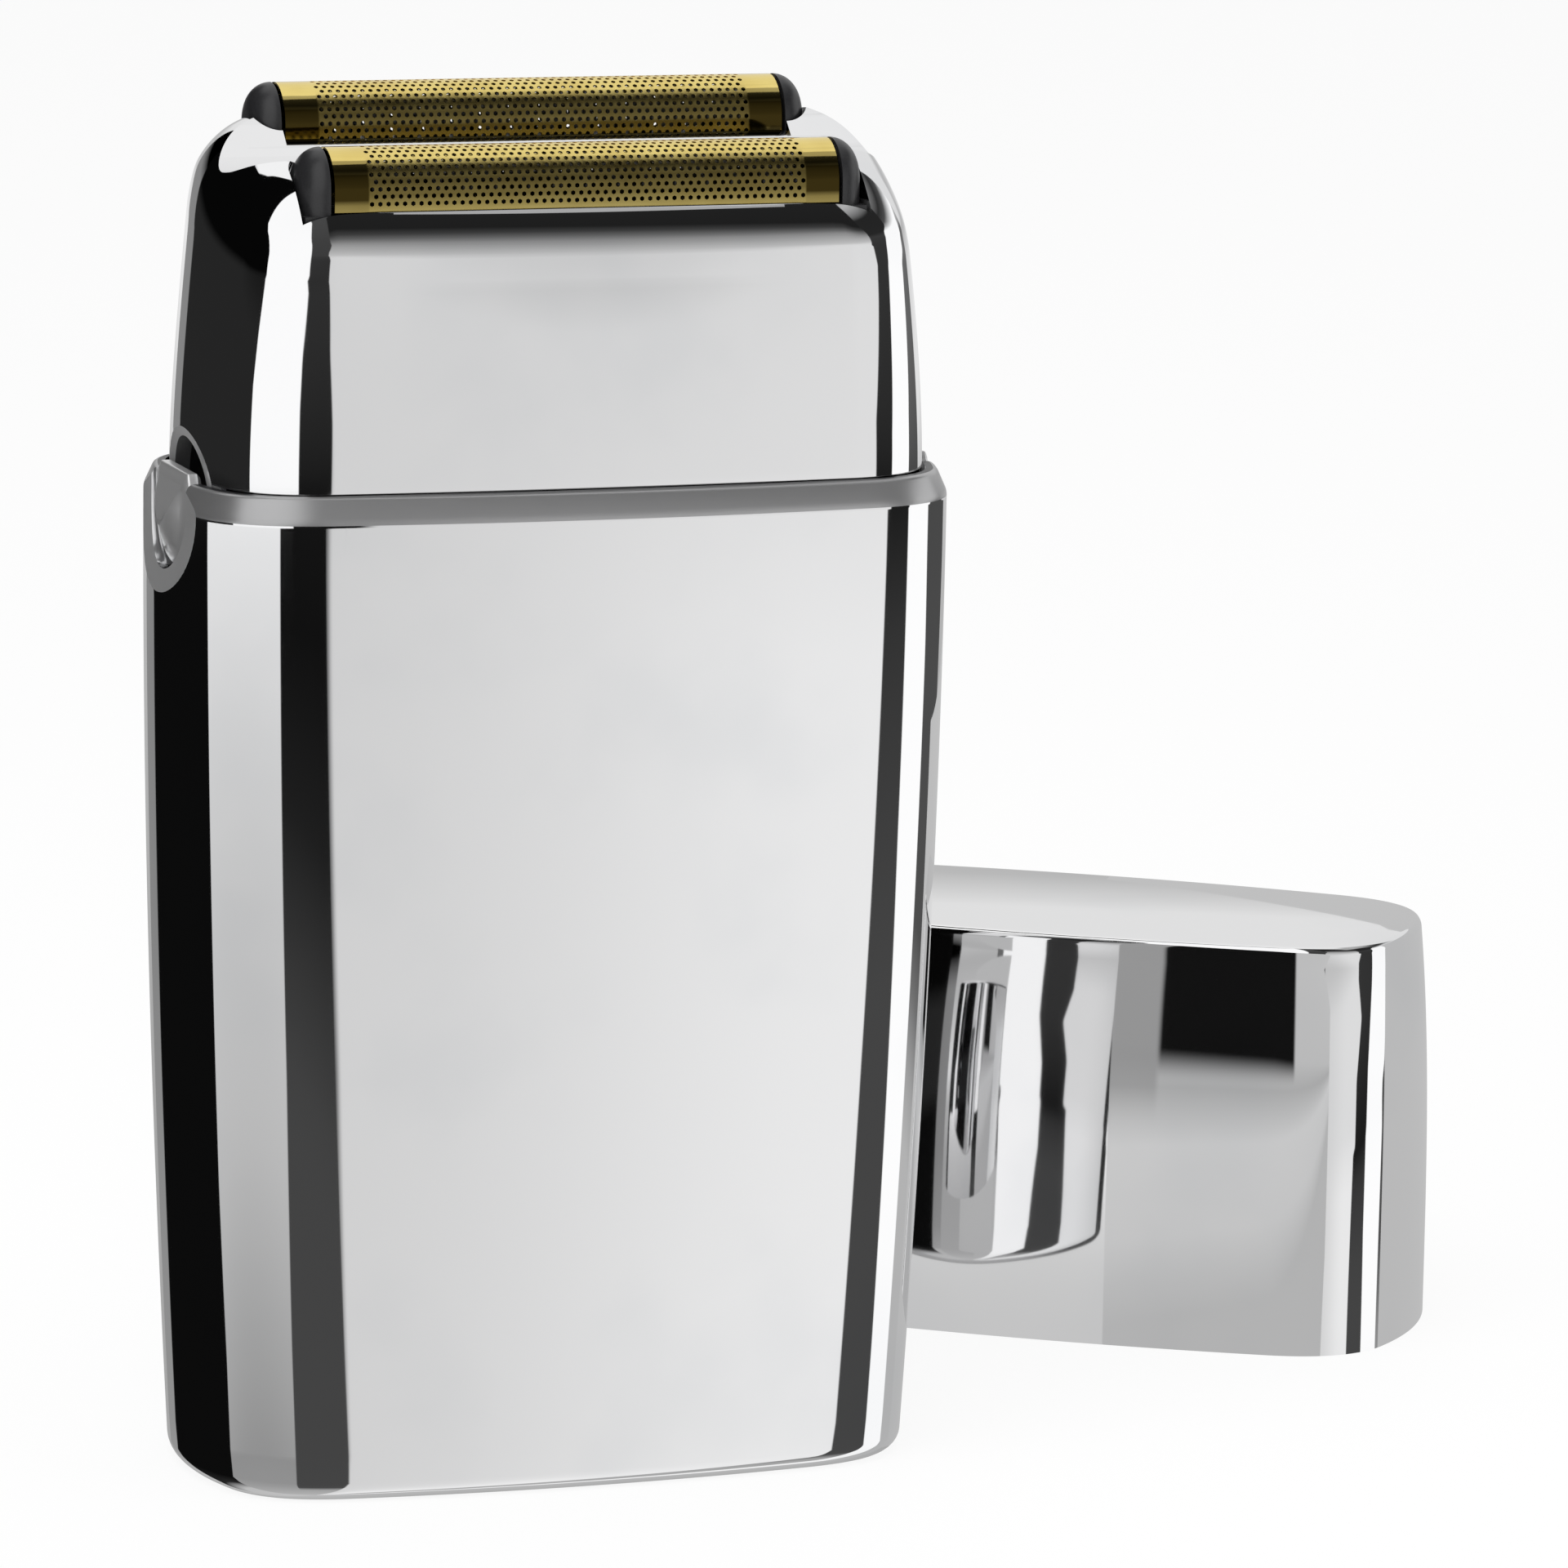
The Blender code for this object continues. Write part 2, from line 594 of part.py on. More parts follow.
def build_switch():
    bezel = back_slot("switch_bezel", BEZEL_HALF, BEZEL_LOW, BEZEL_HIGH, WALL_Y + GAP, BEZEL_Y, BLACK)
    low = THUMB_Z - THUMB_STEM_LENGTH / 2 - GAP
    high = THUMB_Z + THUMB_STEM_LENGTH / 2 + THUMB_TRAVEL + GAP
    cut(bezel, box("cut_bezel_slot", (-THUMB_STEM - GAP, 0, low), (THUMB_STEM + GAP, BEZEL_Y + REACH, high)))
    lamp = circle(LED_RADIUS + GAP, 16)
    hole = [along_y([(x, LED_Z + z) for x, z in lamp], y) for y in (0, BEZEL_Y + REACH)]
    cut(bezel, loft("cut_bezel_led", hole))
    foot = BEZEL_Y + GAP
    pad = stadium(THUMB_HALF, THUMB_Z - THUMB_LENGTH / 2, THUMB_Z + THUMB_LENGTH / 2)
    small = stadium(THUMB_HALF - GAP, THUMB_Z - THUMB_LENGTH / 2 + GAP, THUMB_Z + THUMB_LENGTH / 2 - GAP)
    thumb = loft("power_switch", [along_y(pad, foot), along_y(pad, foot + THUMB_THICK - GAP),
                                  along_y(small, foot + THUMB_THICK)], BLACK)
    half = THUMB_STEM_LENGTH / 2
    join(thumb, box("add_switch_stem", (-THUMB_STEM, WALL_Y + GAP / 2, THUMB_Z - half),
                    (THUMB_STEM, foot + JOIN, THUMB_Z + half)))
    for i in (-1, 0, 1):
        z = THUMB_Z + i * THUMB_LENGTH / 5
        cut(thumb, box(f"cut_grip_{i + 1}", (-REACH, foot + THUMB_THICK - GAP, z - GAP),
                       (REACH, foot + REACH, z + GAP)))
    lens = circle(LED_RADIUS, 16)
    dome = circle(LED_RADIUS * 0.6, 16)
    loft("led_lens", [along_y([(x, LED_Z + z) for x, z in lens], WALL_Y + GAP),
                      along_y([(x, LED_Z + z) for x, z in lens], BEZEL_Y),
                      along_y([(x, LED_Z + z) for x, z in dome], BEZEL_Y + GAP)], LAMP)


# Drive

def build_motor():
    can = circle(MOTOR_RADIUS, 24)
    rim = circle(MOTOR_RADIUS - MOTOR_BEVEL, 24)
    loft("motor", [level(rim, MOTOR_LOW), level(can, MOTOR_LOW + MOTOR_BEVEL),
                   level(can, MOTOR_TOP - MOTOR_BEVEL), level(rim, MOTOR_TOP)], STEEL)
    low = rod("drive_eccentric", 0, 0, MOTOR_TOP + GAP, LOW_YOKE_Z + JOIN, SHAFT_RADIUS, STEEL, 16)
    first = rod("add_cam_low", CAM_THROW, 0, LOW_YOKE_Z, LOW_YOKE_Z + CAM_THICK, CAM_RADIUS)
    web = rod("add_cam_web", 0, 0, LOW_YOKE_Z + CAM_THICK - JOIN, HIGH_YOKE_Z + JOIN, SHAFT_RADIUS)
    second = rod("add_cam_high", -CAM_THROW, 0, HIGH_YOKE_Z, HIGH_YOKE_Z + CAM_THICK, CAM_RADIUS)
    join(low, first, web, second)


def build_deck():
    deck = loft("deck", [head_ring(DECK_LOW, 0.0), head_ring(DECK_TOP, 0.0)], GREY_PLASTIC)
    join(deck, rod("add_collar", 0, 0, DECK_LOW - COLLAR_DROP, DECK_LOW + JOIN,
                   MOTOR_RADIUS + GAP + DECK_COLLAR, None, 24))
    cut(deck, rod("cut_motor_seat", 0, 0, DECK_LOW - COLLAR_DROP - REACH, DECK_LOW, MOTOR_RADIUS + GAP,
                  None, 24))
    cut(deck, rod("cut_shaft_hole", 0, 0, DECK_LOW - REACH, DECK_TOP + REACH, SHAFT_RADIUS + 2 * GAP))
    for side, label in ((-1, "left"), (1, "right")):
        relief = [(y, BUTTON_Z + z) for y, z in circle(BUTTON_RADIUS + GAP, 16)]
        depth = BUTTON_BACK - BUTTON_STROKE - GAP
        cut(deck, loft("cut_relief_" + label,
                       [along_x(relief, side * depth), along_x(relief, side * (BUTTON_FACE + REACH))]))
        ends = sorted((side * STEM_END, side * GUIDE_OUT))
        width = STEM_RADIUS + GAP + GUIDE_THICK
        join(deck, box("add_guide_" + label, (ends[0], -width, DECK_TOP - JOIN), (ends[1], width, BUTTON_Z)))
        bore = [(y, BUTTON_Z + z) for y, z in circle(STEM_RADIUS + GAP, 16)]
        cut(deck, loft("cut_guide_" + label,
                       [along_x(bore, ends[0] - REACH), along_x(bore, ends[1] + REACH)]))
        cut(deck, rod("cut_deck_screw_" + label, side * POST_X, 0, DECK_LOW - REACH, DECK_TOP + REACH,
                      SCREW_SHANK + GAP))
        screw("deck_screw_" + label, side * POST_X, 0, DECK_TOP + GAP, 1, DECK_THICK + REACH - GAP)


def build_oscillator(label, y, ridge, yoke_z):
    toward = 1 if y < 0 else -1
    pedestal_top = ridge - CUTTER_BASE_TOP - CUTTER_BASE_DEPTH - SPRING_LENGTH - GAP
    bar = box("oscillator_" + label, (-OSC_HALF_LENGTH, y - OSC_HALF, OSC_LOW),
              (OSC_HALF_LENGTH, y + OSC_HALF, OSC_TOP), WHITE_PLASTIC)
    inner = y + toward * (OSC_HALF - JOIN)
    outer = toward * (YOKE_HALF_Y + GUIDE_THICK)
    ends = sorted((inner, outer))
    width = YOKE_HALF_X + GUIDE_THICK
    join(bar, box("add_yoke_" + label, (-width, ends[0], yoke_z), (width, ends[1], yoke_z + YOKE_THICK)))
    cut(bar, box("cut_yoke_" + label, (-YOKE_HALF_X, -YOKE_HALF_Y, OSC_LOW - REACH),
                 (YOKE_HALF_X, YOKE_HALF_Y, OSC_TOP + REACH)))
    join(bar, rod("add_pedestal_" + label, 0, y, OSC_TOP - JOIN, pedestal_top, PEDESTAL_RADIUS))
    join(bar, rod("add_pin_" + label, 0, y, pedestal_top - JOIN,
                  pedestal_top + SPRING_LENGTH + CUTTER_BASE_DEPTH / 2, PIN_RADIUS, None, 16))
    coil("cutter_spring_" + label, y, pedestal_top + GAP / 2 + WIRE_RADIUS,
         pedestal_top + SPRING_LENGTH + GAP / 2 - WIRE_RADIUS)


def coil(name, y, low, high):
    """Compression spring of one unbroken wire whose turns keep clear of each other."""
    per_turn = 9
    count = SPRING_TURNS * per_turn
    curve = bpy.data.curves.new(name, "CURVE")
    curve.dimensions = "3D"
    curve.bevel_depth = WIRE_RADIUS * MM
    curve.bevel_resolution = 1
    curve.use_fill_caps = True
    line = curve.splines.new("POLY")
    line.points.add(count)
    for i in range(count + 1):
        turn = 2 * math.pi * i / per_turn
        z = low + (high - low) * i / count
        spot = (SPRING_RADIUS * math.cos(turn), y + SPRING_RADIUS * math.sin(turn), z)
        line.points[i].co = (spot[0] * MM, spot[1] * MM, spot[2] * MM, 1.0)
    curve.materials.append(finish(name + "_finish", *STEEL))
    thing = bpy.data.objects.new(name, curve)
    bpy.context.scene.collection.objects.link(thing)
    clear = (high - low) / SPRING_TURNS - 2 * WIRE_RADIUS
    print(f"{name}: {clear:.2f} mm between turns")


def arch(radius, drop, count):
    """Half circle with straight legs of the given drop, as (y, z) points about the arc's centre."""
    points = [(radius, -drop)]
    points += [(radius * math.cos(math.pi * i / count), radius * math.sin(math.pi * i / count))
               for i in range(count + 1)]
    points.append((-radius, -drop))
    return points


def build_cutter(label, y, ridge):
    centre = ridge - FOIL_HALF
    base_top = ridge - CUTTER_BASE_TOP
    half = CUTTER_HALF_LENGTH
    bar = box("cutter_" + label, (-half, y - CUTTER_BASE_HALF, base_top - CUTTER_BASE_DEPTH),
              (half, y + CUTTER_BASE_HALF, base_top), STEEL)
    blades = bmesh.new()
    profile = [(y + py, centre + pz) for py, pz in arch(BLADE_RADIUS, 0.0, 12)[1:-1]]
    profile.append((y - CUTTER_BASE_HALF + JOIN, base_top - JOIN))
    profile.append((y + CUTTER_BASE_HALF - JOIN, base_top - JOIN))
    for i in range(BLADE_COUNT):
        x = -half + BLADE_THICK + (2 * half - 2 * BLADE_THICK) * i / (BLADE_COUNT - 1)
        add_loft(blades, [along_x(profile, x - BLADE_THICK / 2), along_x(profile, x + BLADE_THICK / 2)])
    join(bar, place("add_blades_" + label, blades))
    low = base_top - CUTTER_BASE_DEPTH
    cut(bar, rod("cut_pin_" + label, 0, y, low - REACH, low + CUTTER_BASE_DEPTH / 2 + CUTTER_FLOAT + GAP,
                 PIN_RADIUS + GAP, None, 16))


# Foils and their frames

def build_foil(label, y, ridge):
    centre = ridge - FOIL_HALF
    leg = FOIL_HEIGHT - FOIL_HALF
    length = 2 * leg + math.pi * FOIL_HALF
    field = FOIL_LENGTH / 2 - FOIL_END_BAND
    row_height = (length - 2 * FOIL_EDGE_BAND) / FOIL_ROWS
    half_pitch = field / FOIL_COLUMNS
    shape = bmesh.new()

    def bent(x, run):
        if run < leg:
            spot = (-FOIL_HALF, run - leg)
        elif run > length - leg:
            spot = (FOIL_HALF, length - leg - run)
        else:
            turn = math.pi - (run - leg) / FOIL_HALF
            spot = (FOIL_HALF * math.cos(turn), FOIL_HALF * math.sin(turn))
        return shape.verts.new((x, y + spot[0], centre + spot[1]))

    columns = [-FOIL_LENGTH / 2] + [-field + half_pitch * i for i in range(2 * FOIL_COLUMNS + 1)]
    columns.append(FOIL_LENGTH / 2)
    runs = [0.0] + [FOIL_EDGE_BAND + row_height * j for j in range(FOIL_ROWS + 1)] + [length]
    lines = [[bent(x, run) for x in columns] for run in runs]
    last = len(columns) - 1
    for j in range(len(runs) - 1):
        low, high = lines[j], lines[j + 1]
        plain = j == 0 or j == len(runs) - 2
        start = 1 if j % 2 else 2
        i = 0
        while i < last:
            holed = not plain and i >= start and i + 2 <= last - start and (i - start) % 2 == 0
            if not holed:
                shape.faces.new((low[i], low[i + 1], high[i + 1], high[i]))
                i += 1
                continue
            middle = (runs[j] + runs[j + 1]) / 2
            reach_x = half_pitch * HOLE_SHARE
            reach_run = row_height / 2 * HOLE_SHARE
            spots = ((-1, -0.5), (0, -1), (1, -0.5), (1, 0.5), (0, 1), (-1, 0.5))
            hole = [bent(columns[i + 1] + reach_x * u, middle + reach_run * v) for u, v in spots]
            edge = [low[i], low[i + 1], low[i + 2], high[i + 2], high[i + 1], high[i]]
            for k in range(6):
                n = (k + 1) % 6
                shape.faces.new((edge[k], edge[n], hole[n], hole[k]))
            i += 2
    bmesh.ops.recalc_face_normals(shape, faces=shape.faces)
    top = max(shape.faces, key=lambda face: face.calc_center_median().z)
    if top.normal.z < 0:
        bmesh.ops.reverse_faces(shape, faces=shape.faces)
    foil = place_sheet("foil_" + label, shape, GOLD)
    sheet = foil.modifiers.new("sheet", "SOLIDIFY")
    sheet.thickness = FOIL_SHEET * MM
    sheet.offset = -1.0
    sheet.use_even_offset = True


def place_sheet(name, shape, look):
    bmesh.ops.scale(shape, vec=Vector((MM, MM, MM)), verts=shape.verts)
    mesh = bpy.data.meshes.new(name)
    shape.to_mesh(mesh)
    shape.free()
    mesh.polygons.foreach_set("use_smooth", [True] * len(mesh.polygons))
    mesh.materials.append(finish(name + "_finish", *look))
    thing = bpy.data.objects.new(name, mesh)
    bpy.context.scene.collection.objects.link(thing)
    return thing


def end_rings(side, y, ridge, growth, drop):
    """Domed end of a foil frame, with legs of the given drop."""
    rings = []
    for turn in between(0.0, math.pi / 2, 4):
        x = OPENING_HALF + (FRAME_END + growth) * math.sin(turn)
        radius = FOIL_HALF + growth - FRAME_NOSE * (1 - math.cos(turn))
        profile = [(y + py, ridge - FOIL_HALF + pz) for py, pz in arch(radius, drop, 10)]
        rings.append(along_x(profile, side * x))
    return rings


def build_frame(label, y, ridge):
    sill = ridge - FOIL_HEIGHT - GAP
    low = sill - FRAME_DEPTH
    far = FRAME_HALF_LENGTH
    frame = box("foil_frame_" + label, (-far, y - FOIL_HALF, low), (far, y + FOIL_HALF, sill), BLACK)
    inner = BLADE_RADIUS + GAP
    cut(frame, box("cut_frame_" + label, (-OPENING_HALF, y - inner, low - REACH),
                   (OPENING_HALF, y + inner, sill + REACH)))
    drop = FOIL_HEIGHT - FOIL_HALF + GAP + JOIN
    for side, name in ((-1, "left"), (1, "right")):
        join(frame, loft("add_end_" + label + "_" + name, end_rings(side, y, ridge, 0.0, drop)))


# Head shell

def crest(y):
    """Height of the head's end walls at this depth: they climb gently from the front foil to the rear."""
    return CREST_Z + HEAD_TILT * (y - FRONT_Y)


def tilted(ring, share):
    return [(x, y, z + share * HEAD_TILT * (y - FRONT_Y)) for x, y, z in ring]


def head_rings():
    """Rings of the head from its plug to its top, which rolls in all round and leans with the foils."""
    rings = [head_ring(PLUG_Z, 0.0)]
    for z in between(RIM_HEIGHT, SHOULDER_FOOT, 5):
        share = (z - RIM_HEIGHT) / (SHOULDER_FOOT - RIM_HEIGHT)
        rings.append(tilted(head_ring(z, 0.0), share ** 2))
    for turn in between(0.0, math.pi / 2, 7)[1:]:
        z = SHOULDER_FOOT + SHOULDER_DROP * math.sin(turn)
        rise = max(0.0, (z - CREST_Z + CROWN_DROP) / CROWN_DROP)
        roll_y = CROWN_RUN * (1 - max(0.0, 1 - rise ** CROWN_POWER) ** (1 / CROWN_POWER))
        rings.append(tilted(head_ring(z, 0.0, SHOULDER_RUN * (1 - math.cos(turn)), roll_y), 1.0))
    return rings


def valley_profile():
    """Side view of the dip between the two foils, open at the top."""
    low = crest(VALLEY_Y) - VALLEY_SINK
    front = FRONT_Y + CREST_HALF
    rear = REAR_Y - CREST_HALF
    points = []
    for y in between(front, VALLEY_Y, 6) + between(VALLEY_Y, rear, 6)[1:]:
        edge = front if y < VALLEY_Y else rear
        share = (y - VALLEY_Y) / (edge - VALLEY_Y)
        points.append((y, low + (crest(edge) - low) * (1 - math.cos(math.pi * share)) / 2))
    tall = REAR_RIDGE + REACH
    return points + [(rear, tall), (front, tall)]


def room_rings(side, y, ridge):
    """Room in the head's wall round the domed end of a foil frame, open towards the nearer long side."""
    outside = math.copysign(RIM_HALF_DEPTH + REACH, y)
    rings = []
    for ring in end_rings(side, y, ridge, GAP, FOIL_HEIGHT - FOIL_HALF):
        middle = len(ring) // 2
        x, _, top = ring[middle]
        low = ring[0][2]
        if y < 0:
            rings.append(ring[:middle + 1] + [(x, outside, top), (x, outside, low)])
        else:
            rings.append(ring[middle:] + [(x, outside, low), (x, outside, top)])
    start = [(x - side * JOIN, y, z) for x, y, z in rings[0]]
    return [start] + rings


def build_head():
    tall = REAR_RIDGE + REACH
    head = loft("head_shell", head_rings(), CHROME)
    wide = RIM_HALF_WIDTH + REACH
    cut(head, loft("cut_valley", [along_x(valley_profile(), x) for x in (-wide, wide)]))
    hollow = [PLUG_Z - REACH] + between(RIM_HEIGHT, FRONT_SILL - HEAD_ROOF, 3)
    cut(head, loft("cut_head_hollow", [head_ring(z, HEAD_WALL) for z in hollow]))
    far = RIM_HALF_DEPTH + REACH
    inner_front = FRONT_Y + SLOT_HALF
    inner_rear = REAR_Y - SLOT_HALF
    above = [(-far, FRONT_SILL), (inner_front, FRONT_SILL), (inner_front, FRONT_RIDGE - BRIDGE_SINK),
             (inner_rear, REAR_SILL), (far, REAR_SILL), (far, tall), (-far, tall)]
    cut(head, loft("cut_window", [along_x(above, x) for x in (-OPENING_HALF, OPENING_HALF)]))
    for label, y, ridge in (("front", FRONT_Y, FRONT_RIDGE), ("rear", REAR_Y, REAR_RIDGE)):
        cut(head, box("cut_slot_" + label, (-WINDOW_HALF, y - SLOT_HALF, FRONT_SILL - HEAD_ROOF - REACH),
                      (WINDOW_HALF, y + SLOT_HALF, ridge - FOIL_HEIGHT + JOIN)))
        for side, name in ((-1, "left"), (1, "right")):
            cut(head, loft("cut_end_" + label + "_" + name, room_rings(side, y, ridge)))
    for side, label in ((-1, "left"), (1, "right")):
        cut(head, notch("cut_head_notch_" + label, side, HEAD_HALF_WIDTH, HEAD_HALF_DEPTH - HEAD_CORNER,
                        RING_CHAMFER, RING_CHAMFER_DEPTH, PLUG_Z - REACH))


def button_ring(radius):
    """Circle with its top cut off level with the rim, drawn in by the same amount all round."""
    top = BUTTON_TOP - (BUTTON_RADIUS - radius)
    return [(y, min(BUTTON_Z + z, top)) for y, z in circle(radius, 24)]


def build_buttons():
    edge = BUTTON_FACE - BUTTON_DOME
    rings = [(STEM_END, STEM_RADIUS), (BUTTON_BACK, STEM_RADIUS), (BUTTON_BACK, BUTTON_RADIUS - GAP),
             (BUTTON_BACK + GAP, BUTTON_RADIUS)]
    for turn in between(0.0, math.pi / 2, 4):
        radius = BUTTON_RADIUS - BUTTON_ROUND * (1 - math.cos(turn))
        rings.append((edge + BUTTON_DOME * math.sin(turn), radius))
    rings.append((BUTTON_FACE - BUTTON_DISH, (BUTTON_RADIUS - BUTTON_ROUND) / 2))
    for side, label in ((-1, "left"), (1, "right")):
        loft("release_button_" + label, [along_x(button_ring(radius), side * out) for out, radius in rings],
             CHROME, 45.0)


# Cap

def build_cap():
    edge = CAP_HEIGHT - CAP_EDGE
    rings = [cap_ring(z, 0.0) for z in between(0.0, edge, 6)]
    rings.append(raised(cap_ring(edge, CAP_EDGE * 0.3), CAP_HEIGHT - CAP_EDGE * 0.3))
    rings.append(raised(cap_ring(edge, CAP_EDGE), CAP_HEIGHT))
    cap = loft("cap", rings, CHROME)
    inside = [raised(cap_ring(0.0, CAP_WALL), -REACH)]
    inside += [cap_ring(z, CAP_WALL) for z in between(0.0, CAP_HEIGHT - CAP_WALL, 5)[1:]]
    hollow = loft("cut_cap", inside)
    turned = Matrix.Rotation(math.radians(CAP_TURN), 4, "Z")
    place_at = Matrix.Translation((CAP_X * MM, CAP_Y * MM, 0.0)) @ turned
    cap.matrix_world = place_at
    hollow.matrix_world = place_at
    cut(cap, hollow)


for thing in list(bpy.data.objects):
    bpy.data.objects.remove(thing, do_unlink=True)

build_housing()
build_bottom()
build_chassis()
build_board()
build_switch()
build_motor()
build_deck()
build_oscillator("front", FRONT_Y, FRONT_RIDGE, LOW_YOKE_Z)
build_oscillator("rear", REAR_Y, REAR_RIDGE, HIGH_YOKE_Z)
build_cutter("front", FRONT_Y, FRONT_RIDGE)
build_cutter("rear", REAR_Y, REAR_RIDGE)
build_frame("front", FRONT_Y, FRONT_RIDGE)
build_frame("rear", REAR_Y, REAR_RIDGE)
build_foil("front", FRONT_Y, FRONT_RIDGE)
build_foil("rear", REAR_Y, REAR_RIDGE)
build_head()
build_buttons()
build_cap()
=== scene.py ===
import math

import bmesh
import bpy
from mathutils import Matrix, Vector


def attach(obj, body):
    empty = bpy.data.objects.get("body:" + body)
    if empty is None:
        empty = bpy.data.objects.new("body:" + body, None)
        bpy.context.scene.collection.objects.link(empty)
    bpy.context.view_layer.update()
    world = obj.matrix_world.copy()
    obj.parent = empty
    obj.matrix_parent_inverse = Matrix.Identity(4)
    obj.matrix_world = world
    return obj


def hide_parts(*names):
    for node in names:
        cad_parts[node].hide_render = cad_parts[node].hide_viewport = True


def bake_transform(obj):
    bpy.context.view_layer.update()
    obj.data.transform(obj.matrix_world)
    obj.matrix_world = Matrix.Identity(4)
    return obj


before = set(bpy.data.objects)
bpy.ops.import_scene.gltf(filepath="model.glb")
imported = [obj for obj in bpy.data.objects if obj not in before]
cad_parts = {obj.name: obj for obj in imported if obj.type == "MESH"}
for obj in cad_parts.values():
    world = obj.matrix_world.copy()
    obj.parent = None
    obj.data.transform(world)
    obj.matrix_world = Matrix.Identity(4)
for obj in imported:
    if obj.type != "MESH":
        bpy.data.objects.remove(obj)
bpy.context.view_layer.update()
mm = 0.001
gap = 0.3       # play between neighbouring pieces
reach = 6.0     # how far a cutter runs past what it cuts
lap = 0.4       # how far joined and cut shapes overlap
print("frame loaded:", len(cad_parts), "pieces")


class Wire:
    # one socket, so that shader sums read as plain sums
    def __init__(self, finish, socket):
        self.finish = finish
        self.socket = socket

    def math(self, operation, first, second=0.0):
        return self.finish.node("Math", {0: first, 1: second}, operation=operation)

    def __add__(self, other):
        return self.math("ADD", self, other)

    def __radd__(self, other):
        return self.math("ADD", other, self)

    def __sub__(self, other):
        return self.math("SUBTRACT", self, other)

    def __rsub__(self, other):
        return self.math("SUBTRACT", other, self)

    def __mul__(self, other):
        return self.math("MULTIPLY", self, other)

    def __rmul__(self, other):
        return self.math("MULTIPLY", other, self)


class Finish:
    # the nodes of one material, or of the world
    def __init__(self, owner):
        owner.use_nodes = True
        self.owner = owner
        self.tree = owner.node_tree
        self.tree.nodes.clear()

    def node(self, kind, inputs=None, output=0, **settings):
        made = self.tree.nodes.new("ShaderNode" + kind)
        for name, value in settings.items():
            if name == "curve":
                points = made.mapping.curves[0].points
                while len(points) < len(value):
                    points.new(0.5, 0.5)
                for point, place in zip(points, value):
                    point.location = place
                    point.handle_type = "VECTOR"
                made.mapping.update()
            else:
                setattr(made, name, value)
        for name, value in (inputs or {}).items():
            if isinstance(value, Wire):
                self.tree.links.new(value.socket, made.inputs[name])
            else:
                made.inputs[name].default_value = value
        return Wire(self, made.outputs[output]) if made.outputs else None

    def rise(self, value, low, high):
        # 0 below low, 1 above high, eased between
        inputs = {"Value": value, "From Min": low, "From Max": high}
        return self.node("MapRange", inputs, interpolation_type="SMOOTHSTEP")

    def follow(self, value, pairs):
        # straight lines through pairs of value and result
        (low, _), (high, _) = pairs[0], pairs[-1]
        least, most = min(result for _, result in pairs), max(result for _, result in pairs)
        span = max(most - least, 1e-6)
        share = self.node("MapRange", {"Value": value, "From Min": low, "From Max": high})
        curve = [((place - low) / (high - low), (result - least) / span) for place, result in pairs]
        return self.node("FloatCurve", {"Value": share}, curve=curve) * span + least

    def spot(self, stretch=(1, 1, 1)):
        place = self.node("TexCoord", None, "Object")
        return self.node("Mapping", {"Vector": place, "Scale": stretch})

    def grain(self, scale, detail=2.0, stretch=(1, 1, 1)):
        inputs = {"Vector": self.spot(stretch), "Scale": scale, "Detail": detail}
        return self.node("TexNoise", inputs)

    def mix(self, share, first, second):
        # between two colours, or wires that carry them
        ends = [end if isinstance(end, Wire) else (*end, 1) for end in (first, second)]
        return self.node("Mix", {0: share, 6: ends[0], 7: ends[1]}, 2, data_type="RGBA")

    def bump(self, height, strength, distance):
        inputs = {"Height": height, "Strength": strength, "Distance": distance}
        return self.node("Bump", inputs)

    def parts(self, vector):
        return [self.node("SeparateXYZ", {0: vector}, i) for i in range(3)]

    def grey(self, value):
        return self.node("CombineColor", {0: value, 1: value, 2: value})

    def close(self, **values):
        inputs = {name.replace("_", " "): value for name, value in values.items()}
        shader = self.node("BsdfPrincipled", inputs)
        self.node("OutputMaterial", {"Surface": shader})
        return self.owner


def newFinish(name):
    return Finish(bpy.data.materials.new(name))


chromeLook = {"dark": (0.84, 0.845, 0.855), "light": (0.89, 0.89, 0.895), "roughness": 0.03, "haze": 0.035}


def mirrorChrome():
    finish = newFinish("mirrorChrome")
    smudge = finish.rise(finish.grain(55.0, 3.0), 0.45, 0.75)
    hairline = finish.rise(finish.grain(90.0, stretch=(60, 60, 4)), 0.55, 0.85)     # wiping marks run upwards
    return finish.close(
        Base_Color=finish.mix(smudge, chromeLook["light"], chromeLook["dark"]),
        Metallic=1.0,
        Roughness=chromeLook["roughness"] + chromeLook["haze"] * smudge * hairline)


# Grained finishes: a coarse and a fine noise, each with its scale, detail and stretch, mix dark with light by
# the coarse one's share. The fine one adds grit to the roughness, and dents.
satinLook = {"coarse": (80.0, 3.0), "fine": (4200.0,), "share": 1.0, "metal": 0.75, "roughness": 0.26,
             "grit": 0.08, "dent": 0.04, "depth": 0.00002}
castLook = {"coarse": (160.0, 4.0, (1, 1, 0.4)), "fine": (2600.0,), "share": 1.0, "metal": 0.85,
            "roughness": 0.42, "grit": 0.14, "dent": 0.25, "depth": 0.00004}
plasticLook = {"coarse": (90.0, 3.0), "fine": (5200.0,), "share": 0.6, "metal": 0.0, "roughness": 0.30,
               "grit": 0.12, "dent": 0.12, "depth": 0.00005}
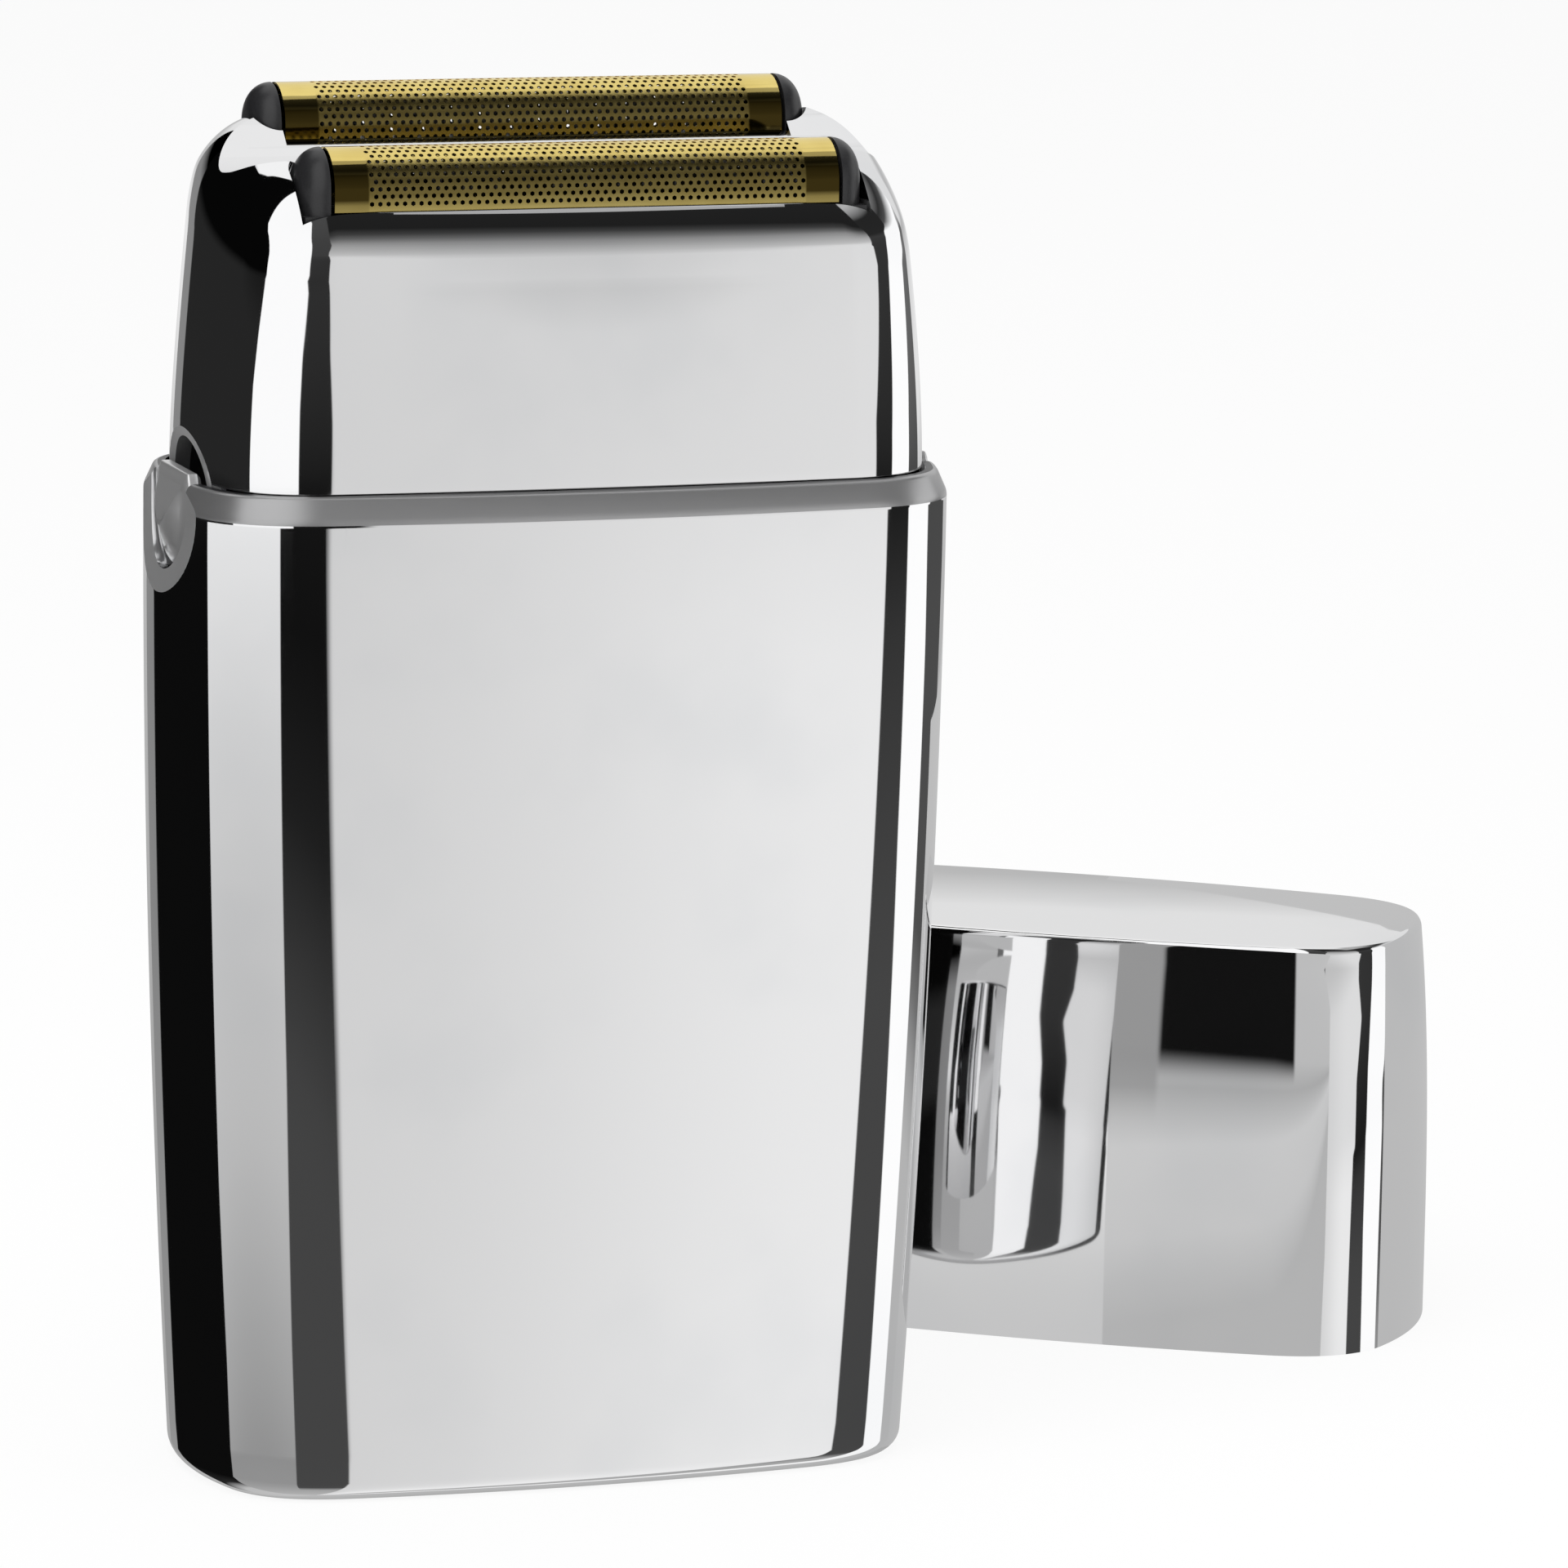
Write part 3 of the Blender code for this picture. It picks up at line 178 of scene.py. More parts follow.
# grinding runs along the blades
steelLook = {"coarse": (130.0,), "fine": (60.0, 3.0, (3, 90, 90)), "share": 0.3, "metal": 1.0,
             "roughness": 0.2, "grit": 0.18, "dent": 0.12, "depth": 0.00003}
brassLook = {"coarse": (120.0,), "fine": (120.0, 2.0, (4, 4, 80)), "share": 0.0, "metal": 1.0,
             "roughness": 0.18, "grit": 0.16, "dent": 0.0, "depth": 0.00003}
lensLook = {"coarse": (3200.0,), "fine": (3200.0,), "share": 0.0, "metal": 0.0, "roughness": 0.1,
            "grit": 0.1, "dent": 0.1, "depth": 0.00003, "coat": 0.6}


def grained(name, look, dark, light, **changes):
    look = {**look, **changes}
    finish = newFinish(name)
    coarse, fine = finish.grain(*look["coarse"]), finish.grain(*look["fine"])
    share = coarse * look["share"] + fine * (1 - look["share"])
    return finish.close(
        Base_Color=finish.mix(share, dark, light), Metallic=look["metal"], Coat_Weight=look.get("coat", 0.0),
        Roughness=look["roughness"] + look["grit"] * fine,
        Normal=finish.bump(fine, look["dent"], look["depth"]))


# Painted shade and painted reflection on the foils. Flank pairs are a drop in millimetres below the ridge and
# the share of gold, against dark, there: bright at the ridge, a dark band lower down and mid gold at the foot.
goldLook = {"deep": (0.70, 0.51, 0.14), "bright": (0.95, 0.77, 0.27), "dark": (0.05, 0.035, 0.008),
            "roughness": 0.16,
            "paintedFlankShade": [(-4.7, 0.55), (-4.1, 0.34), (-3.4, 0.16), (-2.2, 0.16), (-1.2, 1.0), (0, 1.0)],
            "plainFrom": 17.5, "plainRoughness": 0.07,      # the ends without holes are polished
            "plainPaintedFlankShade": [(-4.7, 0.4), (-4.2, 0.3), (-3.8, 0.0), (-1.9, 0.0), (-1.2, 1.0), (0, 1.0)]}


def goldCoat():
    finish = newFinish("goldCoat")
    streak = finish.grain(70.0, 3.0, (6, 60, 60))
    patch = finish.rise(finish.grain(240.0), 0.3, 0.75)
    x, y, z = finish.parts(finish.spot())
    front, rear = foilSize["frontRidge"], foilSize["rearRidge"]
    drop = z * (1 / mm) - front - finish.rise(y, -0.001, 0.001) * (rear - front)
    plainFrom = goldLook["plainFrom"]
    plain = finish.rise(x.math("ABSOLUTE", x) * (1 / mm), plainFrom - 0.1, plainFrom + 0.1)
    paintedFlankShade, plainPaintedFlankShade = finish.follow(drop, goldLook["paintedFlankShade"]), finish.follow(drop, goldLook["plainPaintedFlankShade"])
    coat = finish.mix(patch * 0.35 + streak * 0.3, goldLook["bright"], goldLook["deep"])
    worn = goldLook["roughness"] + 0.10 * streak
    return finish.close(
        # painted shade and painted reflection: the gold darkens in bands below each foil's ridge
        Base_Color=finish.mix(paintedFlankShade + plain * (plainPaintedFlankShade - paintedFlankShade), goldLook["dark"], coat), Metallic=1.0,
        Roughness=worn + plain * (goldLook["plainRoughness"] - worn),
        Normal=finish.bump(streak, 0.05, 0.00002))


sleeveLook = {"film": (0.03, 0.10, 0.33), "band": (0.62, 0.64, 0.66), "tip": (0.6, 0.6, 0.62),
              "bandStart": (0.004, 0.0045), "bandEnd": (0.012, 0.0125), "tipStart": (0.0165, 0.0168)}


def batterySleeve():
    finish = newFinish("batterySleeve")
    across = finish.parts(finish.spot())[0]
    cloud = finish.grain(200.0)
    begun, ended = finish.rise(across, *sleeveLook["bandStart"]), finish.rise(across, *sleeveLook["bandEnd"])
    tip = finish.rise(across, *sleeveLook["tipStart"])
    film = finish.mix(begun - ended, sleeveLook["film"], sleeveLook["band"])
    return finish.close(
        Base_Color=finish.mix(tip, film, sleeveLook["tip"]), Metallic=tip, Roughness=0.28 + 0.15 * cloud)


boardLook = {"mask": (0.012, 0.10, 0.035), "track": (0.05, 0.24, 0.09), "pitch": 210.0, "trackWidth": 0.05}


def boardFinish():
    finish = newFinish("boardFinish")
    track = finish.node("TexBrick", {
        "Vector": finish.spot((1, 0, 1)), "Scale": boardLook["pitch"], "Mortar Size": boardLook["trackWidth"],
        "Color1": (0, 0, 0, 1), "Color2": (0, 0, 0, 1), "Mortar": (1, 1, 1, 1)}, offset=0.5)
    weave = finish.grain(1500.0)
    lines = finish.rise(track, 0.2, 0.8)
    return finish.close(
        Base_Color=finish.mix(lines, boardLook["mask"], boardLook["track"]), Roughness=0.3 + 0.2 * weave,
        Normal=finish.bump(lines, 0.2, 0.00003))


# Shapes are worked out in millimetres and placed in metres.

def spread(low, high, steps):
    return [low + (high - low) * i / steps for i in range(steps + 1)]


def clearSelection():
    if bpy.context.object and bpy.context.object.mode != "OBJECT":
        bpy.ops.object.mode_set(mode="OBJECT")
    bpy.ops.object.select_all(action="DESELECT")


def pick(piece):
    clearSelection()
    piece.select_set(True)
    bpy.context.view_layer.objects.active = piece


def ringPiece(name, rings):
    # a filled circle takes the first outline, then its face is extruded from outline to outline
    rings = [[Vector(spot) * mm for spot in ring] for ring in rings]
    clearSelection()
    bpy.ops.mesh.primitive_circle_add(vertices=len(rings[0]), radius=0.01, fill_type="NGON")
    piece = bpy.context.object
    piece.name = piece.data.name = name
    for vertex, spot in zip(piece.data.vertices, rings[0]):
        vertex.co = spot
    bpy.ops.object.mode_set(mode="EDIT")
    bpy.ops.mesh.select_mode(type="FACE")
    bpy.ops.mesh.select_all(action="SELECT")
    for low, high in zip(rings, rings[1:]):
        bpy.ops.mesh.extrude_region_move()
        moves = {tuple(spot): new for spot, new in zip(low, high)}
        shape = bmesh.from_edit_mesh(piece.data)
        for vertex in shape.verts:
            if vertex.select:
                vertex.co = moves[tuple(vertex.co)]
        bmesh.update_edit_mesh(piece.data)
    bpy.ops.mesh.select_all(action="SELECT")
    bpy.ops.mesh.normals_make_consistent(inside=False)
    bpy.ops.object.mode_set(mode="OBJECT")
    return piece


def combine(piece, other, operation):
    pick(piece)
    bpy.ops.object.modifier_add(type="BOOLEAN")
    step = piece.modifiers[-1]
    step.operation = operation
    step.solver = "EXACT"
    step.object = other
    bpy.ops.object.modifier_apply(modifier=step.name)
    bpy.data.objects.remove(other, do_unlink=True)


def cutAway(piece, *cutters):
    for cutter in cutters:
        combine(piece, cutter, "DIFFERENCE")


def dress(piece, material, body, nodes, angle=30.0):
    pick(piece)
    bpy.ops.object.shade_smooth_by_angle(angle=math.radians(angle))
    piece.data.materials.clear()
    piece.data.materials.append(material)
    if body:
        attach(piece, body)
    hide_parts(*nodes)
    print("made", piece.name, len(piece.data.polygons), "faces")


def paintWhere(piece, material, wanted, crisp=False):
    # gives another finish to the faces that the test picks, with a crisp edge round them if asked
    piece.data.materials.append(material)
    index = len(piece.data.materials) - 1
    for face in piece.data.polygons:
        if wanted(face.center / mm, face.normal):
            face.material_index = index
    if crisp:
        shape = bmesh.new()
        shape.from_mesh(piece.data)
        for edge in shape.edges:
            painted = [face.material_index == index for face in edge.link_faces]
            if any(painted) and not all(painted):
                edge.smooth = False
        shape.to_mesh(piece.data)
        shape.free()


def level(points, z):
    return [(x, y, z) for x, y in points]


def acrossX(points, x):
    return [(x, y, z) for y, z in points]


def acrossY(points, y):
    return [(x, y, z) for x, z in points]


def arc(radius, start, end, steps):
    return [(radius * math.cos(turn), radius * math.sin(turn)) for turn in spread(start, end, steps)]


def circle(radius, count):
    return arc(radius, 0.0, 2 * math.pi, count)[:-1]


def arch(radius, drop, steps):
    return [(radius, -drop)] + arc(radius, 0.0, math.pi, steps) + [(-radius, -drop)]


def stadium(half, low, high, steps=24):
    points = [(x, high - half + z) for x, z in arc(half, 0.0, math.pi, steps)]
    return points + [(x, low + half + z) for x, z in arc(half, math.pi, 2 * math.pi, steps)]


def block(name, halfX, y, halfY, low, high):
    corners = [(-halfX, y - halfY), (halfX, y - halfY), (halfX, y + halfY), (-halfX, y + halfY)]
    return ringPiece(name, [level(corners, low), level(corners, high)])


def outwards(centre, normal):
    return centre.x * normal.x + centre.y * normal.y


outlineSteps = {"side": 10, "corner": 30, "front": 26, "parts": 6}      # points on a quarter of an outline
easing = {"start": 0.12, "end": 0.60}       # turn over which a corner tightens, from the long side


def cornerCurve(corner, ease, start, end):
    # from the end of the long side; the bend is gentler there, its radius larger by ease
    turns = spread(start, end, outlineSteps["corner"] * outlineSteps["parts"])
    x = y = 0.0
    points = [(x, y)]
    for first, last in zip(turns, turns[1:]):
        turn = (first + last) / 2
        share = min(1.0, max(0.0, (turn - easing["start"]) / (easing["end"] - easing["start"])))
        radius = corner + ease * (1 - share * share * (3 - 2 * share))
        x += radius * math.cos(turn) * (last - first)
        y += radius * math.sin(turn) * (last - first)
        points.append((x, y))
    return points


def outline(halfX, halfY, corner, ease, bulgeY, bulgeX):
    # rounded rectangle whose sides bow outwards and run smoothly into the corners
    sideX, sideY = halfX - bulgeX, halfY - bulgeY
    leanX = leanY = 0.0
    for _ in range(12):
        curve = cornerCurve(corner, ease, leanY, math.pi / 2 - leanX)
        endX, endY = sideX - curve[-1][0], sideY - curve[-1][1]
        leanX = math.atan2(2 * bulgeX, endY)
        leanY = math.atan2(2 * bulgeY, endX)
    quarter = []
    for i in range(outlineSteps["side"]):
        share = i / outlineSteps["side"]
        quarter.append((halfX - bulgeX * share ** 2, endY * share))
    quarter += [(endX + x, sideY - y) for x, y in reversed(curve[::outlineSteps["parts"]])]
    for i in range(1, outlineSteps["front"]):
        share = 1 - i / outlineSteps["front"]
        quarter.append((endX * share, halfY - bulgeY * share ** 2))
    points = quarter + [(0.0, halfY)] + [(-x, y) for x, y in reversed(quarter[1:])]
    points += [(-halfX, 0.0)] + [(-x, -y) for x, y in quarter[1:]]
    points += [(0.0, -halfY)] + [(x, -y) for x, y in reversed(quarter[1:])]
    return points


# Body

body = {"rimHeight": 78.8, "halfWidth": 31.4, "halfDepth": 15.85, "corner": 8.0, "rimEase": 6.4,
        "bottomEase": 9.1, "rimBulge": 1.28, "bottomBulge": 1.03, "sideBulge": 1.2, "widthTaper": 2.2,
        "depthTaper": 1.0, "taperPower": 1.9, "rimChamfer": 1.8, "rimRun": 0.8, "rimRound": 0.3, "lip": 1.3,
        "bottomEdge": 1.6, "wall": 2.6, "floor": 2.4, "flange": 3.4, "ledge": 72.6, "skin": 0.03,
        "insideX": 29.5, "insideY": 13.9}
recess = {"half": 5.2, "low": 9.5, "high": 66.0, "y": 14.35}
bezelSize = {"half": 2.8, "low": 16.0, "high": 60.0, "face": 14.6, "back": 13.55, "bed": 4.5, "edgeRun": 0.35,
             "edgeDrop": 0.3}
notchSize = {"z": 76.7, "radius": 5.1, "bodyChamfer": 2.0, "bodyDepth": 0.5, "headChamfer": 1.1,
             "headDepth": 0.3, "steps": 40, "innerX": 26.0}
shoulderZ = body["rimHeight"] - body["rimChamfer"]


def bodyRing(z, inset):
    down = max(0.0, (shoulderZ - z) / shoulderZ)
    fall = down ** body["taperPower"]
    halfX = body["halfWidth"] - body["widthTaper"] * fall - inset
    halfY = body["halfDepth"] - body["depthTaper"] * fall - inset
    ease = body["rimEase"] + (body["bottomEase"] - body["rimEase"]) * down
    bulge = body["rimBulge"] + (body["bottomBulge"] - body["rimBulge"]) * down
    return level(outline(halfX, halfY, body["corner"] - inset, ease, bulge, body["sideBulge"]), z)


def floorRing(z, inset):
    inset += body["flange"]
    halfX = body["halfWidth"] - body["widthTaper"] - inset
    halfY = body["halfDepth"] - body["depthTaper"] - inset
    corner = body["corner"] - inset
    return level(outline(halfX, halfY, corner, body["bottomEase"], body["bottomBulge"], body["sideBulge"]), z)


def bow(first, middle, last, steps):
    # quadratic curve through two ends, for small rounded edges
    points = []
    for share in spread(0.0, 1.0, steps):
        a, b, c = (1 - share) ** 2, 2 * share * (1 - share), share ** 2
        points.append(tuple(a * p + b * q + c * r for p, q, r in zip(first, middle, last)))
    return points


def notchOutline(radius, openingZ):
    turned = -1 if openingZ > notchSize["z"] else 1
    points = [(y, notchSize["z"] + turned * z) for y, z in arc(radius, 0.0, math.pi, notchSize["steps"])]
    return points + [(-radius, openingZ), (radius, openingZ)]


def cutNotches(shell, size, label, openingZ):
    chamfer, depth = notchSize[label + "Chamfer"], notchSize[label + "Depth"]
    surface, straight = size["halfWidth"], size["halfDepth"] - size["corner"]
    inner = notchOutline(notchSize["radius"], openingZ)
    outer = notchOutline(notchSize["radius"] + 2 * chamfer, openingZ)

    def following(points, side, out):
        return [(side * (out - body["sideBulge"] * (y / straight) ** 2), y, z) for y, z in points]

    for side in (-1, 1):
        cutAway(shell, ringPiece("notchCutter", [
            acrossX(inner, side * (surface - reach)), following(inner, side, surface - depth),
            following(outer, side, surface + depth), acrossX(outer, side * (surface + reach))]))


def paintNotches(shell, size, label):
    straight = size["halfDepth"] - size["corner"]
    radius = notchSize["radius"]
    edge = radius + notchSize[label + "Chamfer"]

    def onBevel(centre, normal):
        # a bevel leans from the side of the shell towards the middle of its notch
        surface = size["halfWidth"] - body["sideBulge"] * (centre.y / straight) ** 2
        lean = 2 * body["sideBulge"] * centre.y / straight ** 2
        side = Vector((math.copysign(1.0, centre.x), lean, 0.0)).normalized()
        away = Vector((0.0, centre.y, centre.z - notchSize["z"]))
        near = radius + 0.02 < away.length < edge + 0.1
        below = notchSize["innerX"] < abs(centre.x) < surface - 0.02
        return near and below and abs(normal.x) > 0.5 and (normal - side).dot(away) < -0.1 * away.length

    paintWhere(shell, notchSatin, onBevel, True)


def slotCutter(half, low, high, inner, outer):
    points = stadium(half, low, high)
    return ringPiece("slotCutter", [acrossY(points, inner), acrossY(points, outer)])


def makeHousing():
    edge, skin = body["bottomEdge"], body["skin"]
    rings = []
    for turn in spread(0.0, math.pi / 2, 8):
        rings.append(bodyRing(edge * (1 - math.cos(turn)), skin + edge * (1 - math.sin(turn))))
    soft = body["rimRound"]
    rings += [bodyRing(z, skin) for z in spread(edge, shoulderZ - soft - 0.2, 34)[1:] + [shoulderZ - soft]]
    slope = body["rimRun"] / body["rimChamfer"]
    low = bow((0.0, shoulderZ - soft), (0.0, shoulderZ), (soft * slope, shoulderZ + soft), 5)
    top = body["rimHeight"]
    high = bow((body["rimRun"] - soft * slope, top - soft), (body["rimRun"], top), (body["lip"], top), 4)
    rings += [bodyRing(z, skin + inset) for inset, z in low[1:] + high]
    shell = ringPiece("bodyShell", rings)
    hollow = [bodyRing(z, body["wall"]) for z in spread(body["floor"], body["ledge"] + lap, 16)]
    seat = headRing(body["ledge"], -gap)
    cutAway(shell, ringPiece("hollow", hollow),
            ringPiece("seat", [seat, [(x, y, top + reach) for x, y, _ in seat]]),
            ringPiece("opening", [floorRing(-reach, 0.0), floorRing(body["floor"] + lap, 0.0)]),
            slotCutter(recess["half"], recess["low"], recess["high"], recess["y"], recess["y"] + reach),
            slotCutter(bezelSize["half"] + gap, bezelSize["low"] - gap, bezelSize["high"] + gap,
                       bezelSize["face"] - bezelSize["bed"], recess["y"] + lap))
    cutNotches(shell, body, "body", top + reach)
    dress(shell, chrome, "housing", ["housing_shell"])

    def hidden(centre, normal):
        inner = abs(centre.x) < body["insideX"] and abs(centre.y) < body["insideY"]
        facing = outwards(centre, normal) < -0.1 or abs(normal.z) > 0.9
        return inner and facing and 0.1 < centre.z < body["ledge"] + 0.1

    def onRim(centre, normal):
        return outwards(centre, normal) > 0 and shoulderZ - soft < centre.z < top and 0.03 < normal.z < 0.97

    # the lip's flat top between body and head is painted black as the shade in the gap there
    def lipInShade(centre, normal):
        return normal.z > 0.97 and abs(centre.z - top) < 0.02

    paintWhere(shell, inside, hidden)
    # painted shade: the rim chamfer takes the darker copy of the satin metal
    paintWhere(shell, shadedRimSatin, onRim)
    paintNotches(shell, body, "body")
    # painted shade: black on the lip's flat top
    paintWhere(shell, black, lipInShade)


# Head

foilSize = {"length": 40.4, "half": 3.2, "height": 4.7, "sheet": 0.14, "columns": 54, "rows": 22,
            "endBand": 2.6, "hole": 0.52, "frontY": -7.0, "rearY": 7.0, "frontRidge": 104.7,
            "rearRidge": 108.2}
head = {"halfWidth": 29.4, "halfDepth": 13.85, "corner": 6.3, "ease": 6.4, "bulge": 0.9, "crownCorner": 4.6,
        "crownEase": 4.8, "crownBulge": 0.3, "curve": 1.7, "widthFlare": 1.8, "depthFlare": 1.65,
        "crownZ": 98.8, "plugZ": 75.0, "wall": 1.5, "roof": 3.0, "tilt": 0.21, "crownRun": 4.5,
        "crownDrop": 5.3, "crownPower": 1.5, "shoulderRun": 3.4, "shoulderDrop": 7.5, "crestSink": 1.4,
        "valleyY": -0.6, "valleySink": 2.5, "crestHalf": 1.0, "windowHalf": 22.8, "openingHalf": 20.5,
        "slotHalf": 3.5, "sillSlope": 0.65, "bridgeSink": 3.0, "rearLip": 0.55, "insideX": 28.4,
        "insideY": 12.9}
frameSize = {"end": 2.0, "depth": 4.7, "nose": 2.2, "inner": 2.85}
frontSill = foilSize["frontRidge"] - foilSize["height"]
rearSill = foilSize["rearRidge"] - foilSize["height"]


def headRing(z, inset, rollX=0.0, rollY=0.0):
    rise = max(0.0, (z - body["rimHeight"]) / (head["crownZ"] - body["rimHeight"]))
    lean, high = rise ** head["curve"], min(1.0, rise) ** 2
    halfX = head["halfWidth"] - head["widthFlare"] * lean - inset - rollX
    halfY = head["halfDepth"] - head["depthFlare"] * lean - inset - rollY
    corner = head["corner"] + (head["crownCorner"] - head["corner"]) * high - inset
    ease = head["ease"] + (head["crownEase"] - head["ease"]) * high
    bulge = head["bulge"] + (head["crownBulge"] - head["bulge"]) * high
    return level(outline(halfX, halfY, corner, ease, bulge, body["sideBulge"]), z)


crestZ = foilSize["frontRidge"] - head["crestSink"]


def crest(y):
    return crestZ + head["tilt"] * (y - foilSize["frontY"])


def tilted(ring, share):
    return [(x, y, z + share * head["tilt"] * (y - foilSize["frontY"])) for x, y, z in ring]


def headRings():
    # the top rolls in all round and leans with the foils
    foot = crestZ - head["shoulderDrop"]
    rings = [headRing(head["plugZ"], 0.0)]
    for z in spread(body["rimHeight"], foot, 24):
        share = (z - body["rimHeight"]) / (foot - body["rimHeight"])
        rings.append(tilted(headRing(z, 0.0), share ** 2))
    power = head["crownPower"]
    for turn in spread(0.0, math.pi / 2, 44)[1:]:
        z = foot + head["shoulderDrop"] * math.sin(turn)
        rise = max(0.0, (z - crestZ + head["crownDrop"]) / head["crownDrop"])
        rollY = head["crownRun"] * (1 - max(0.0, 1 - rise ** power) ** (1 / power))
        rings.append(tilted(headRing(z, 0.0, head["shoulderRun"] * (1 - math.cos(turn)), rollY), 1.0))
    return rings


def valleyProfile():
    # side view of the dip between the foils, open at the top
    middle = head["valleyY"]
    low = crest(middle) - head["valleySink"]
    front, rear = foilSize["frontY"] + head["crestHalf"], foilSize["rearY"] - head["crestHalf"]
    points = []
    for y in spread(front, middle, 24) + spread(middle, rear, 24)[1:]:
        edge = front if y < middle else rear
        share = (y - middle) / (edge - middle)
        points.append((y, low + (crest(edge) - low) * (1 - math.cos(math.pi * share)) / 2))
    top = foilSize["rearRidge"] + reach
    return points + [(rear, top), (front, top)]


def noseRings(side, y, ridge, growth, drop):
    # domed end of a foil frame
    rings = []
    for turn in spread(0.0, math.pi / 2, 14):
        radius = foilSize["half"] + growth - frameSize["nose"] * (1 - math.cos(turn))
        x = side * (head["openingHalf"] + (frameSize["end"] + growth) * math.sin(turn))
        centre = ridge - foilSize["half"]
        rings.append(acrossX([(y + py, centre + pz) for py, pz in arch(radius, drop, 32)], x))
    return rings


def roomRings(side, y, ridge):
    # room round a domed end, open towards the nearer long wall
    outside = math.copysign(body["halfDepth"] + reach, y)
    sill = (y + math.copysign(head["slotHalf"], y), ridge - foilSize["height"])
    low = sill[1] - head["sillSlope"] * abs(outside - sill[0])
    rings = []
    for ring in noseRings(side, y, ridge, gap, foilSize["height"] - foilSize["half"]):
        middle = len(ring) // 2
        x, _, top = ring[middle]
        outer = [(x, outside, top), (x, outside, low), (x, *sill)]
        rings.append(ring[:middle + 1] + outer if y < 0 else ring[middle:] + outer[::-1])
    return [[(x - side * lap, y, z) for x, y, z in rings[0]]] + rings


def makeHead():
    top = foilSize["rearRidge"] + reach
    far = body["halfDepth"] + reach
    wide = body["halfWidth"] + reach
    shell = ringPiece("headShell", headRings())
    cutAway(shell, ringPiece("valley", [acrossX(valleyProfile(), x) for x in (-wide, wide)]))
    hollow = [head["plugZ"] - reach] + spread(body["rimHeight"], frontSill - head["roof"], 8)
    cutAway(shell, ringPiece("hollow", [headRing(z, head["wall"]) for z in hollow]))
    frontY, rearY, slot = foilSize["frontY"], foilSize["rearY"], head["slotHalf"]
    fall = head["sillSlope"] * (far + frontY - slot)
    above = [(-far, frontSill - fall), (frontY - slot, frontSill), (frontY + slot, frontSill),
             (frontY + slot, foilSize["frontRidge"] - head["bridgeSink"]),
             (rearY - slot, rearSill + head["rearLip"]), (rearY - slot, rearSill),
             (rearY + slot, rearSill), (far, rearSill - fall), (far, top), (-far, top)]
    half = head["openingHalf"]
    cutAway(shell, ringPiece("window", [acrossX(above, x) for x in (-half, half)]))
    low = frontSill - head["roof"] - reach
    for y, ridge in ((frontY, foilSize["frontRidge"]), (rearY, foilSize["rearRidge"])):
        cutAway(shell, block("slot", head["windowHalf"], y, slot, low, ridge - foilSize["height"] + lap))
        for side in (-1, 1):
            cutAway(shell, ringPiece("room", roomRings(side, y, ridge)))
    cutNotches(shell, head, "head", head["plugZ"] - reach)
    dress(shell, chrome, "head", ["head_shell"])

    def hidden(centre, normal):
        inner = abs(centre.x) < head["insideX"] and abs(centre.y) < head["insideY"]
        return inner and outwards(centre, normal) < -0.1 and centre.z < frontSill - 0.5

    paintWhere(shell, inside, hidden)
    paintNotches(shell, head, "head")


